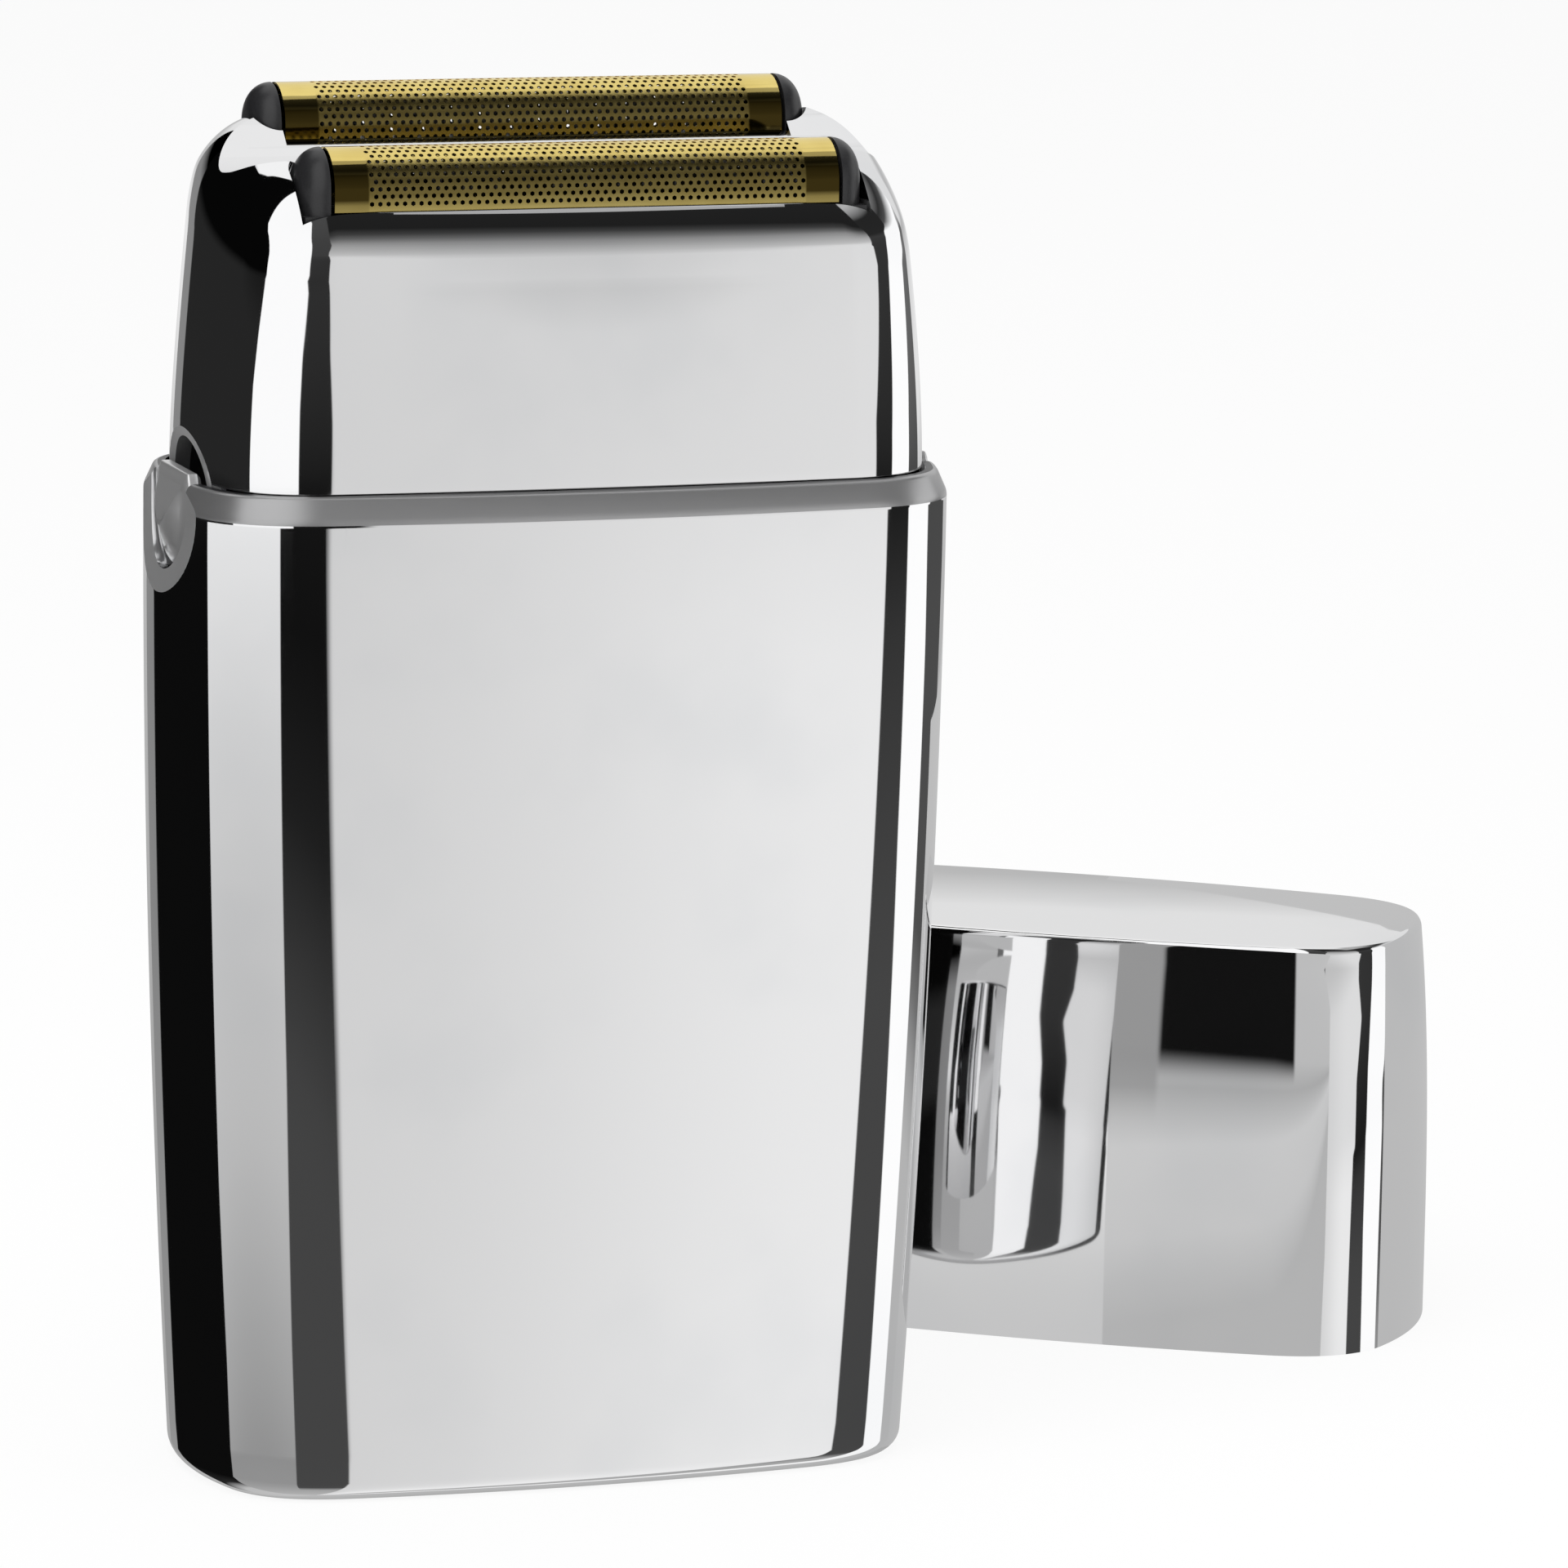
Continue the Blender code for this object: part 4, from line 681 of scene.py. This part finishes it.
def makeFoil(label, y, ridge):
    half = foilSize["half"]
    centre = ridge - half
    leg = foilSize["height"] - half
    length = 2 * leg + math.pi * half
    field = foilSize["length"] / 2 - foilSize["endBand"]
    columns, rows = foilSize["columns"], foilSize["rows"]
    pitch = 2 * field / columns
    rowHeight = pitch * math.sqrt(3) / 2
    edge = (length - rows * rowHeight) / 2
    xs = [-foilSize["length"] / 2] + spread(-field, field, 2 * columns) + [foilSize["length"] / 2]
    runs = [0.0] + spread(edge, length - edge, rows) + [length]
    clearSelection()
    bpy.ops.mesh.primitive_grid_add(x_subdivisions=len(xs) - 1, y_subdivisions=len(runs) - 1, size=1)
    sheet = bpy.context.object
    sheet.name = sheet.data.name = "foilSheet_" + label
    for i, vertex in enumerate(sheet.data.vertices):
        vertex.co = (xs[i % len(xs)], runs[i // len(xs)], 0.0)
    bpy.ops.object.mode_set(mode="EDIT")
    bpy.ops.mesh.select_mode(type="EDGE")
    bpy.ops.mesh.select_all(action="DESELECT")
    shape = bmesh.from_edit_mesh(sheet.data)
    seams = set()       # each pair of cells in a staggered row becomes one cell
    for row in range(1, len(runs) - 2):
        first = 1 if row % 2 else 2
        for i in range(first, len(xs) - 1 - first, 2):
            if i + 2 <= len(xs) - 1 - first:
                seams.add((round(xs[i + 1], 4), round((runs[row] + runs[row + 1]) / 2, 4)))
    for line in shape.edges:
        middle = (line.verts[0].co + line.verts[1].co) / 2
        line.select = (round(middle.x, 4), round(middle.y, 4)) in seams
    bmesh.update_edit_mesh(sheet.data)
    bpy.ops.mesh.dissolve_edges(use_verts=False)
    bpy.ops.mesh.select_mode(type="FACE")
    shape = bmesh.from_edit_mesh(sheet.data)
    for face in shape.faces:
        face.select = len(face.verts) == 6
    bmesh.update_edit_mesh(sheet.data)
    bpy.ops.mesh.inset(thickness=pitch * 0.1, use_individual=True)
    shape = bmesh.from_edit_mesh(sheet.data)
    across = pitch / 2 * foilSize["hole"]
    upright = pitch / math.sqrt(3) * foilSize["hole"]
    for face in shape.faces:
        if not face.select:
            continue
        middle = face.calc_center_bounds()
        for vertex in face.verts:
            x, run = vertex.co.x - middle.x, vertex.co.y - middle.y
            on = abs(x) < pitch * 0.05      # the middle points are the hexagon's tips
            vertex.co.x = middle.x + (0.0 if on else math.copysign(across, x))
            vertex.co.y = middle.y + math.copysign(upright * (1.0 if on else 0.5), run)
    bmesh.update_edit_mesh(sheet.data)
    bpy.ops.mesh.delete(type="ONLY_FACE")
    bpy.ops.object.mode_set(mode="OBJECT")
    for vertex in sheet.data.vertices:
        x, run, _ = vertex.co
        if run < leg:
            spot = (-half, run - leg)
        elif run > length - leg:
            spot = (half, length - leg - run)
        else:
            turn = math.pi - (run - leg) / half
            spot = (half * math.cos(turn), half * math.sin(turn))
        vertex.co = Vector((x, y + spot[0], centre + spot[1])) * mm
    pick(sheet)
    bpy.ops.object.modifier_add(type="SOLIDIFY")
    step = sheet.modifiers[-1]
    step.thickness = foilSize["sheet"] * mm
    step.offset = -1.0
    bpy.ops.object.modifier_apply(modifier=step.name)
    dress(sheet, gold, "head", ["foil_" + label], 40.0)


def makeFrame(label, y, ridge):
    half = foilSize["half"]
    sill = ridge - foilSize["height"] - gap
    low = sill - frameSize["depth"]
    rail = block("foilFrame_" + label, head["openingHalf"] + frameSize["end"], y, half, low, sill)
    cutAway(rail, block("inner", head["openingHalf"], y, frameSize["inner"], low - reach, sill + reach))
    for side in (-1, 1):
        nose = noseRings(side, y, ridge, 0.0, foilSize["height"] - half + gap + lap)
        combine(rail, ringPiece("nose", nose), "UNION")
    dress(rail, black, "head", ["foil_frame_" + label], 40.0)


# Release buttons

buttonSize = {"radius": 4.8, "top": 79.4, "face": 31.2, "thick": 2.3, "stem": 2.0, "stemEnd": 26.4,
              "dome": 1.4, "round": 1.0, "crown": 0.95, "steps": 72}


def buttonRing(radius):
    top = buttonSize["top"] - (buttonSize["radius"] - radius)
    return [(y, min(notchSize["z"] + z, top)) for y, z in circle(radius, buttonSize["steps"])]


def makeButton(side, label):
    back = buttonSize["face"] - buttonSize["thick"]
    crown = buttonSize["crown"]
    edge = buttonSize["face"] - buttonSize["dome"]
    stages = [(buttonSize["stemEnd"], buttonSize["stem"]), (back, buttonSize["stem"]),
              (back, buttonSize["radius"] - gap), (back + gap, buttonSize["radius"])]
    for turn in spread(0.0, math.pi / 2, 14):
        stages.append((edge + (buttonSize["dome"] - crown) * math.sin(turn),
                       buttonSize["radius"] - buttonSize["round"] * (1 - math.cos(turn))))
    flat = buttonSize["radius"] - buttonSize["round"]
    for share in spread(0.0, 0.9, 8)[1:]:
        stages.append((buttonSize["face"] - crown * (1 - share) ** 2, flat * (1 - share)))
    rings = [acrossX(buttonRing(radius), side * out) for out, radius in stages]
    pad = ringPiece("releasePad_" + label, rings)
    dress(pad, notchSatin, "button_" + label, ["release_button_" + label], 40.0)


# Cap, standing apart

capSize = {"height": 34.2, "wall": 1.4, "widthDraft": 0.9, "depthDraft": 2.4, "draftPower": 3.2, "edge": 0.7,
           "skin": 0.05, "x": 57.9, "y": 36.8, "turn": -34.8}


def capRing(z, inset, height=None):
    draft = (z / capSize["height"]) ** capSize["draftPower"] if z > 0 else 0.0
    halfX = body["halfWidth"] - capSize["widthDraft"] * draft - inset
    halfY = body["halfDepth"] - capSize["depthDraft"] * draft - inset
    corner = body["corner"] - inset
    points = outline(halfX, halfY, corner, body["rimEase"], body["rimBulge"], body["sideBulge"])
    turn = math.radians(capSize["turn"])
    turned = [(capSize["x"] + x * math.cos(turn) - y * math.sin(turn),
               capSize["y"] + x * math.sin(turn) + y * math.cos(turn)) for x, y in points]
    return level(turned, z if height is None else height)


def makeCap():
    height, edge, skin = capSize["height"], capSize["edge"], capSize["skin"]
    rings = [capRing(z, skin) for z in spread(0.0, height - edge, 30)]
    for turn in spread(0.0, math.pi / 2, 8)[1:]:
        inset = skin + edge * (1 - math.cos(turn))
        rings.append(capRing(height - edge, inset, height - edge + edge * math.sin(turn)))
    shell = ringPiece("capShell", rings)
    rings = [capRing(0.0, capSize["wall"], -reach)]
    rings += [capRing(z, capSize["wall"]) for z in spread(0.0, height - capSize["wall"], 16)[1:]]
    cutAway(shell, ringPiece("hollow", rings))
    dress(shell, chrome, "cap", ["cap"])
    middle = Vector((capSize["x"], capSize["y"], 0.0))

    def hidden(centre, normal):
        inward = (centre - middle).xy.dot(normal.xy) < -0.1
        return 0.05 < centre.z < height - 0.5 and (inward or normal.z < -0.5)

    paintWhere(shell, inside, hidden)


# Switch on the back

thumbSize = {"half": 2.2, "length": 11.0, "thick": 1.0, "z": 43.0, "travel": 5.0, "stem": 0.8,
             "stemLength": 4.0, "edgeRun": 0.6, "edgeDrop": 0.45, "ribs": 5, "ribPitch": 1.5, "ribHalf": 0.4,
             "ribDepth": 0.3, "ribReach": 0.2}
lampSize = {"radius": 1.1, "z": 20.0}


def padRings(size, low, high, foot, face, steps):
    # flat at the foot, with a rounded edge at the face
    edge = bow((0.0, face - size["edgeDrop"]), (0.0, face), (size["edgeRun"], face), steps)
    return [acrossY(stadium(size["half"] - inset, low + inset, high - inset), y)
            for inset, y in [(0.0, foot)] + edge]


def lampRing(radius, y):
    return [(x, y, lampSize["z"] + z) for x, z in circle(radius, 32)]


def makeSwitch():
    face, back = bezelSize["face"], bezelSize["back"]
    plate = ringPiece("switchPlate", padRings(bezelSize, bezelSize["low"], bezelSize["high"], back, face, 5))
    middle, stem, stemHalf = thumbSize["z"], thumbSize["stem"], thumbSize["stemLength"] / 2
    low, high = middle - stemHalf - gap, middle + stemHalf + thumbSize["travel"] + gap
    cutAway(plate, slotCutter(stem + gap, low, high, 0.0, face + reach))
    hole = lampSize["radius"] + gap
    cutAway(plate, ringPiece("lampHole", [lampRing(hole, y) for y in (0.0, face + reach)]))
    dress(plate, black, "housing", ["switch_bezel"])

    foot = face + gap
    top = foot + thumbSize["thick"]
    half = thumbSize["length"] / 2
    pad = ringPiece("thumbPad", padRings(thumbSize, middle - half, middle + half, foot, top, 6))
    corners = stadium(stem, middle - stemHalf, middle + stemHalf)
    combine(pad, ringPiece("stem", [acrossY(corners, y) for y in (back, foot + lap)]), "UNION")
    deep, above, wide = top - thumbSize["ribDepth"], top + thumbSize["ribReach"], thumbSize["ribHalf"]
    for i in range(thumbSize["ribs"]):
        z = middle + (i - (thumbSize["ribs"] - 1) / 2) * thumbSize["ribPitch"]
        groove = [(deep, z), (above, z - wide), (above, z + wide)]
        cutAway(pad, ringPiece("groove", [acrossX(groove, x) for x in (-reach, reach)]))
    dress(pad, black, "thumb_switch", ["power_switch"])

    rings = [lampRing(lampSize["radius"], back)]
    for turn in spread(0.0, math.pi / 2 * 0.92, 8):
        rings.append(lampRing(lampSize["radius"] * math.cos(turn), face + gap * math.sin(turn)))
    dress(ringPiece("lampLens", rings), lens, "housing", ["led_lens"])


# Bottom

plateEdge = 0.4
socketSize = {"x": 11.0, "radius": 4.0, "wall": 1.0, "low": 0.4, "depth": 9.0, "edge": 0.3}
screwSize = {"x": 19.2, "head": 2.0, "shank": 1.0, "well": 1.6}


def roundAt(x, radius, count=48):
    return [(x + px, py) for px, py in circle(radius, count)]


def makeBottom():
    edge = bow((plateEdge, 0.0), (0.0, 0.0), (0.0, plateEdge), 5)
    rings = [floorRing(z, gap + inset) for inset, z in edge]
    plate = ringPiece("bottomPlate", rings + [floorRing(body["floor"], gap)])
    holes = [(socketSize["x"], socketSize["radius"], reach)]
    for x in (-screwSize["x"], screwSize["x"]):
        holes += [(x, screwSize["shank"], reach), (x, screwSize["head"], screwSize["well"])]
    for x, radius, top in holes:
        cutAway(plate, ringPiece("hole", [level(roundAt(x, radius + gap), z) for z in (-reach, top)]))
    dress(plate, black, "housing", ["bottom_cover"])

    low, high = socketSize["low"], socketSize["low"] + socketSize["depth"]
    inner = socketSize["radius"] - socketSize["wall"]
    outer, edge = socketSize["radius"], socketSize["edge"]
    stages = [(inner, high - socketSize["wall"]), (inner, low + edge), (inner + edge, low),
              (outer - edge, low), (outer, low + edge), (outer, high)]
    cup = ringPiece("chargeCup", [level(roundAt(socketSize["x"], radius), z) for radius, z in stages])
    dress(cup, black, "housing", ["charge_socket"])


# Cutter springs

springSize = {"turns": 4, "radius": 1.5, "wire": 0.22, "length": 5.0, "below": 12.65, "stepsPerTurn": 24,
              "sides": 10}


def makeSpring(label, y, ridge):
    wire, radius, turns = springSize["wire"], springSize["radius"], springSize["turns"]
    low = ridge - springSize["below"]
    climb = (springSize["length"] - 2 * wire) / (2 * math.pi * turns)
    rings = []
    for turn in spread(0.0, 2 * math.pi * turns, turns * springSize["stepsPerTurn"]):
        out = Vector((math.cos(turn), math.sin(turn), 0.0))
        along = Vector((-radius * out.y, radius * out.x, climb)).normalized()
        centre = Vector((0.0, y, low + wire + climb * turn)) + out * radius
        rings.append([centre + out * u + along.cross(out) * v for u, v in circle(wire, springSize["sides"])])
    coil = ringPiece("cutterSpring_" + label, rings)
    dress(coil, steel, None, ["cutter_spring_" + label], 50.0)
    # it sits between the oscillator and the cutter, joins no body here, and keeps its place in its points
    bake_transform(coil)


chrome = mirrorChrome()
# the rim gets a darker copy of the satin metal of the notch bevels and release pads, as painted shade
shadedRimSatin = grained("shadedRimSatin", satinLook, (0.4092, 0.4092, 0.41385), (0.44, 0.44, 0.445))
notchSatin = grained("notchSatin", satinLook, (0.7626, 0.7626, 0.76725), (0.82, 0.82, 0.825))
inside = grained("castInside", castLook, (0.30, 0.305, 0.31), (0.42, 0.42, 0.43))
gold = goldCoat()
black = grained("blackPlastic", plasticLook, (0.010, 0.010, 0.011), (0.028, 0.028, 0.030))
grey = grained("greyPlastic", plasticLook, (0.085, 0.087, 0.092), (0.14, 0.142, 0.15), roughness=0.42,
               dent=0.2)
white = grained("whitePlastic", plasticLook, (0.60, 0.60, 0.585), (0.72, 0.72, 0.70), roughness=0.34)
steel = grained("groundSteel", steelLook, (0.46, 0.47, 0.49), (0.66, 0.67, 0.69))
# the cutter blades get a darker copy of the ground steel, as painted shade under the foils
bladeInShade = grained("bladeSteelInShade", steelLook, (0.10, 0.10, 0.105), (0.19, 0.19, 0.195))
brass = grained("turnedBrass", brassLook, (0.60, 0.42, 0.15), (0.80, 0.62, 0.28))
lens = grained("clearLens", lensLook, (0.55, 0.60, 0.64), (0.80, 0.84, 0.86))
print("finishes made")

makeHousing()
makeHead()
for label in ("front", "rear"):
    place = (foilSize[label + "Y"], foilSize[label + "Ridge"])
    makeFoil(label, *place)
    makeFrame(label, *place)
    makeSpring(label, *place)
makeButton(-1, "left")
makeButton(1, "right")
makeCap()
makeSwitch()
makeBottom()

# Pieces that keep their own shape and get a finish

keptFinishes = {"chassis": grey, "deck": grey, "oscillator_front": white, "oscillator_rear": white,
                "battery": batterySleeve(), "circuit_board": boardFinish(), "socket_pin": brass,
                "cutter_front": bladeInShade, "cutter_rear": bladeInShade, "motor": steel, "drive_eccentric": steel,
                "switch_block": steel, "bottom_screw_left": steel, "bottom_screw_right": steel,
                "deck_screw_left": steel, "deck_screw_right": steel}
for name, material in keptFinishes.items():
    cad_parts[name].data.materials.clear()
    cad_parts[name].data.materials.append(material)
print("kept pieces finished:", len(keptFinishes))


# Studio

floorLook = {"dark": (0.93, 0.93, 0.93), "light": (0.95, 0.95, 0.95), "glow": 0.9}


def makeFloor():
    clearSelection()
    bpy.ops.mesh.primitive_plane_add(size=6.0)
    ground = bpy.context.object
    ground.name = "studioFloor"
    finish = newFinish("paleFloor")
    seen = finish.node("LightPath", None, "Is Camera Ray")
    mirrored = finish.node("LightPath", None, "Is Glossy Ray")
    speck = finish.mix(finish.grain(30.0), floorLook["dark"], floorLook["light"])
    pale = finish.node("BsdfDiffuse", {"Color": speck})
    shine = finish.node("Emission", {"Color": (1, 1, 1, 1), "Strength": 1.0})
    clear = finish.node("BsdfTransparent")
    bright = finish.node("MixShader", {0: seen * floorLook["glow"], 1: pale, 2: shine})
    whole = finish.node("MixShader", {0: mirrored, 1: bright, 2: clear})
    finish.node("OutputMaterial", {"Surface": whole})
    ground.data.materials.append(finish.owner)


# Panels of the studio from left to right, round the shaver. Each pair is a height in degrees above level
# and what holds there: the turn of the panel's left edge from the front, below and above the top of the
# table, and the glow.
panels = [
    {"name": "dark far left", "below": [(-30, 168), (0, 168)],
     "above": [(-10, 168), (39, 168), (45, 140), (90, 140)],
     "glow": [(-90, 0.6), (-55, 0.55), (-40, 0.02), (-25, 0.004), (-9, 0.004), (-7, 0.02), (1, 0.02),
              (4, 0.002), (90, 0.002)]},
    {"name": "left wall", "below": [(-30, 105), (-18, 108), (-16, 112), (-9, 118), (0, 118)],
     "above": [(-10, 79.5), (-1, 81), (1, 78), (3, 73), (8, 73.5), (23, 77), (30, 80), (38, 85), (46, 96),
               (90, 97)],
     "glow": [(-90, 0.5), (-20, 0.30), (-16, 0.55), (-13, 0.64), (-11, 0.74), (-8.8, 0.9), (-7.5, 1.08),
              (90, 1.08)]},
    {"name": "dark gap", "below": [(-30, 29), (-18, 28.5), (-15, 27), (-9, 28.3), (0, 28.3)],
     "above": [(-10, 18.3), (-2, 18.7), (0, 17.5), (2, 12.2), (37, 9.8), (90, 9.8)],
     "glow": [(-90, 0.5), (-55, 0.4), (-40, 0.07), (-15, 0.062), (-12, 0.015), (-10, 0.006), (-7, 0.01),
              (10, 0.05), (45, 0.055), (90, 0.09)]},
    {"name": "front wall", "below": [(-30, -2.4), (-14, -2.9), (-9, -2), (0, -2)],
     "above": [(-10, -4.8), (-3, -4.9), (0, -4.1), (2.5, -5.7), (10, -4), (20, -5), (35, -9), (90, -10)],
     "glow": [(-90, 0.75), (-30, 0.72), (5, 0.70), (9, 0.60), (14, 0.53), (20, 0.48), (30, 0.39), (38, 0.28),
              (44, 0.14), (49, 0.05), (54, 0.015), (90, 0.02)]},
    {"name": "right gap", "below": [(-30, -41), (-14, -41.5), (-9, -43.5), (0, -43.5)],
     "above": [(-10, -46), (-4, -46), (0, -51.5), (4, -46.5), (90, -46.5)],
     "glow": [(-90, 0.5), (-55, 0.4), (-40, 0.07), (-13, 0.064), (-10, 0.04), (-8.5, 0.012), (0, 0.035),
              (20, 0.045), (26, 0.022), (46, 0.02), (55, 0.5), (60, 0.38), (90, 0.5)]},
    {"name": "right wall", "below": [(-30, -68), (-17, -66), (-12, -62), (0, -62)],
     "above": [(-10, -62.5), (-5, -63), (0, -67), (20, -69), (25, -71), (33, -80), (90, -80)],
     "glow": [(-90, 0.9), (-30, 1.1), (24, 1.1), (34, 0.08), (40, 0.03), (45, 0.15), (52, 0.4), (65, 0.5),
              (70, 0.9), (90, 0.9)]},
    {"name": "far right gap", "below": [(-30, -93), (-14, -90), (-10, -92), (-9, -90.5), (0, -90.5)],
     "above": [(-10, -93), (-5, -95), (-2, -102), (0, -108), (20, -112), (25, -130), (90, -130)],
     "glow": [(-90, 0.52), (-14.5, 0.50), (-13, 0.085), (-8, 0.07), (0, 0.18), (10, 0.14), (20, 0.5),
              (25, 1.0), (90, 1.0)]},
    {"name": "room behind", "below": [(-30, -122), (-12, -122), (-9, -131), (0, -131)],
     "above": [(-10, -124), (0, -119), (90, -119)],
     "glow": [(-90, 0.55), (-13, 0.40), (-9, 0.5), (-6, 0.85), (0, 0.6), (6, 0.5), (12, 0.8), (90, 0.9)]},
]
behindGlow = [(-90, 0.6), (-30, 0.5), (-12, 0.25), (3, 0.25), (7, 0.0), (40, 0.0), (46, 1.0), (90, 1.0)]
tableTop = (-8.45, -7.95)
panelBlur = 0.6
# The front wall is brighter towards its right, and reaches less high there.
frontWall = {"lift": [(-10, 0.2), (-7, 0.1), (4, 0.1), (10, 0.0)], "liftRight": (2.0, 34.0),
             "sink": 14.0, "sinkHeight": (10.0, 30.0), "sinkRight": (14.0, 50.0)}


def makeWorld():
    world = bpy.data.worlds.new("studio")
    bpy.context.scene.world = world
    finish = Finish(world)
    x, y, z = finish.parts(finish.node("TexCoord", None, "Generated"))
    right = x.math("ARCTAN2", x, 0.0 - y) * math.degrees(1.0)
    height = z.math("ARCSINE", z) * math.degrees(1.0)
    upper = finish.rise(height, *tableTop)
    glow = finish.follow(height, behindGlow)
    for panel in panels:
        below, above = finish.follow(height, panel["below"]), finish.follow(height, panel["above"])
        past = right + below + upper * (above - below)
        here = finish.follow(height, panel["glow"])
        if panel["name"] == "front wall":
            sunk = finish.rise(height, *frontWall["sinkHeight"]) * finish.rise(right, *frontWall["sinkRight"])
            lift = finish.rise(right, *frontWall["liftRight"]) * finish.follow(height, frontWall["lift"])
            here = finish.follow(height + sunk * frontWall["sink"], panel["glow"]) + lift
        glow = glow + finish.rise(past, -panelBlur, panelBlur) * (here - glow)
    camera = finish.node("LightPath", None, "Is Camera Ray")
    room = finish.node("Background", {"Color": finish.grey(glow), "Strength": 1.0})
    backdrop = finish.node("Background", {"Color": (1, 1, 1, 1), "Strength": 1.0})
    both = finish.node("MixShader", {0: camera, 1: room, 2: backdrop})
    finish.node("OutputWorld", {"Surface": both})


# One-sided cards that the cap mirrors: where each starts, the turn of the way it runs, its glow over its
# height, and a dark stretch along it with the height where that begins.
cards = [
    {"x": 40.0, "y": 3.0, "turn": -16.0, "length": 320.0, "low": -60.0, "high": 62.0, "dark": (6.0, 41.0),
     "darkLow": 24.0,
     "glow": [(-60, 0.5), (-4, 0.5), (4, 0.62), (14, 0.65), (21, 0.45), (26, 0.55), (62, 0.58)]},
    {"x": 100.0, "y": 15.0, "turn": 180.0, "length": 120.0, "low": -60.0, "high": 45.0, "dark": None,
     "glow": [(-60, 0.5), (45, 0.56)]},
]
# how softly a dark stretch begins and ends, its glow, and the shade beside it
cardEdges = {"start": 0.5, "end": 2.0, "foot": 2.4, "top": 2.2, "glow": 0.006, "fade": 8.0, "shade": 0.4}


def makeCard(card):
    turn = math.radians(card["turn"])
    along = Vector((-math.sin(turn), -math.cos(turn), 0.0))
    start = Vector((card["x"], card["y"], 0.0)) * mm
    far = start + along * card["length"] * mm
    clearSelection()
    bpy.ops.mesh.primitive_plane_add(size=1.0)
    sheet = bpy.context.object
    sheet.name = "studioCard"
    corners = ((far, "low"), (start, "low"), (far, "high"), (start, "high"))
    for vertex, (spot, edge) in zip(sheet.data.vertices, corners):
        vertex.co = spot + Vector((0.0, 0.0, card[edge] * mm))
    finish = newFinish("cardFinish")
    x, y, z = finish.parts(finish.spot())
    out = ((x - start.x) * along.x + (y - start.y) * along.y) * (1 / mm)
    high = z * (1 / mm)
    glow = finish.follow(high, card["glow"])
    if card["dark"]:
        (first, last), low = card["dark"], card["darkLow"]
        start, end, top = cardEdges["start"], cardEdges["end"], low + cardEdges["top"]
        shade = finish.rise(out, first + start, first - start) * finish.rise(high, low - cardEdges["fade"], top)
        glow = glow * (1.0 - cardEdges["shade"] * shade)
        dark = finish.rise(out, first - start, first + start) * finish.rise(out, last + end, last - end)
        glow = glow + dark * finish.rise(high, low - cardEdges["foot"], top) * (cardEdges["glow"] - glow)
    shine = finish.node("Emission", {"Color": finish.grey(glow), "Strength": 1.0})
    clear = finish.node("BsdfTransparent")
    back = finish.node("NewGeometry", None, "Backfacing")
    both = finish.node("MixShader", {0: back, 1: shine, 2: clear})
    finish.node("OutputMaterial", {"Surface": both})
    sheet.data.materials.append(finish.owner)
    for kind in ("camera", "diffuse", "transmission", "shadow", "volume_scatter"):
        setattr(sheet, "visible_" + kind, False)


lamps = [{"name": "topLamp", "spot": (-0.25, -0.25, 0.9), "size": 0.8, "watts": 5.0},
         {"name": "fillLamp", "spot": (0.7, -0.5, 0.6), "size": 0.6, "watts": 2.0}]
lampAim = Vector((0.02, 0.0, 0.05))


def softLamp(name, spot, size, watts):
    lamp = bpy.data.objects.new(name, bpy.data.lights.new(name, "AREA"))
    lamp.data.size = size
    lamp.data.energy = watts
    lamp.visible_glossy = False
    lamp.location = spot
    lamp.rotation_euler = (lampAim - Vector(spot)).to_track_quat("-Z", "Y").to_euler()
    bpy.context.scene.collection.objects.link(lamp)


cameraSize = {"lens": 206.25, "sensor": 36.0, "pitch": 10.318, "yaw": -18.903, "roll": 1.0,
              "distance": 0.711284, "target": (0.020043, 0.0, 0.052527)}


def makeCamera():
    pitch, yaw, roll = (math.radians(cameraSize[name]) for name in ("pitch", "yaw", "roll"))
    back = Vector((math.sin(yaw) * math.cos(pitch), -math.cos(yaw) * math.cos(pitch), math.sin(pitch)))
    right = Vector((math.cos(yaw), math.sin(yaw), 0.0))
    up = back.cross(right)
    across = right * math.cos(roll) + up * math.sin(roll)
    upright = up * math.cos(roll) - right * math.sin(roll)
    place = Matrix((across, upright, back)).transposed().to_4x4()
    place.translation = Vector(cameraSize["target"]) + back * cameraSize["distance"]
    camera = bpy.data.objects.new("camera", bpy.data.cameras.new("camera"))
    camera.data.lens = cameraSize["lens"]
    camera.data.sensor_width = cameraSize["sensor"]
    camera.data.clip_start = 0.01
    camera.matrix_world = place
    bpy.context.scene.collection.objects.link(camera)
    bpy.context.scene.camera = camera


makeFloor()
makeWorld()
for card in cards:
    makeCard(card)
for lamp in lamps:
    softLamp(**lamp)
makeCamera()
bpy.context.scene.view_settings.view_transform = "Standard"
print("studio ready")
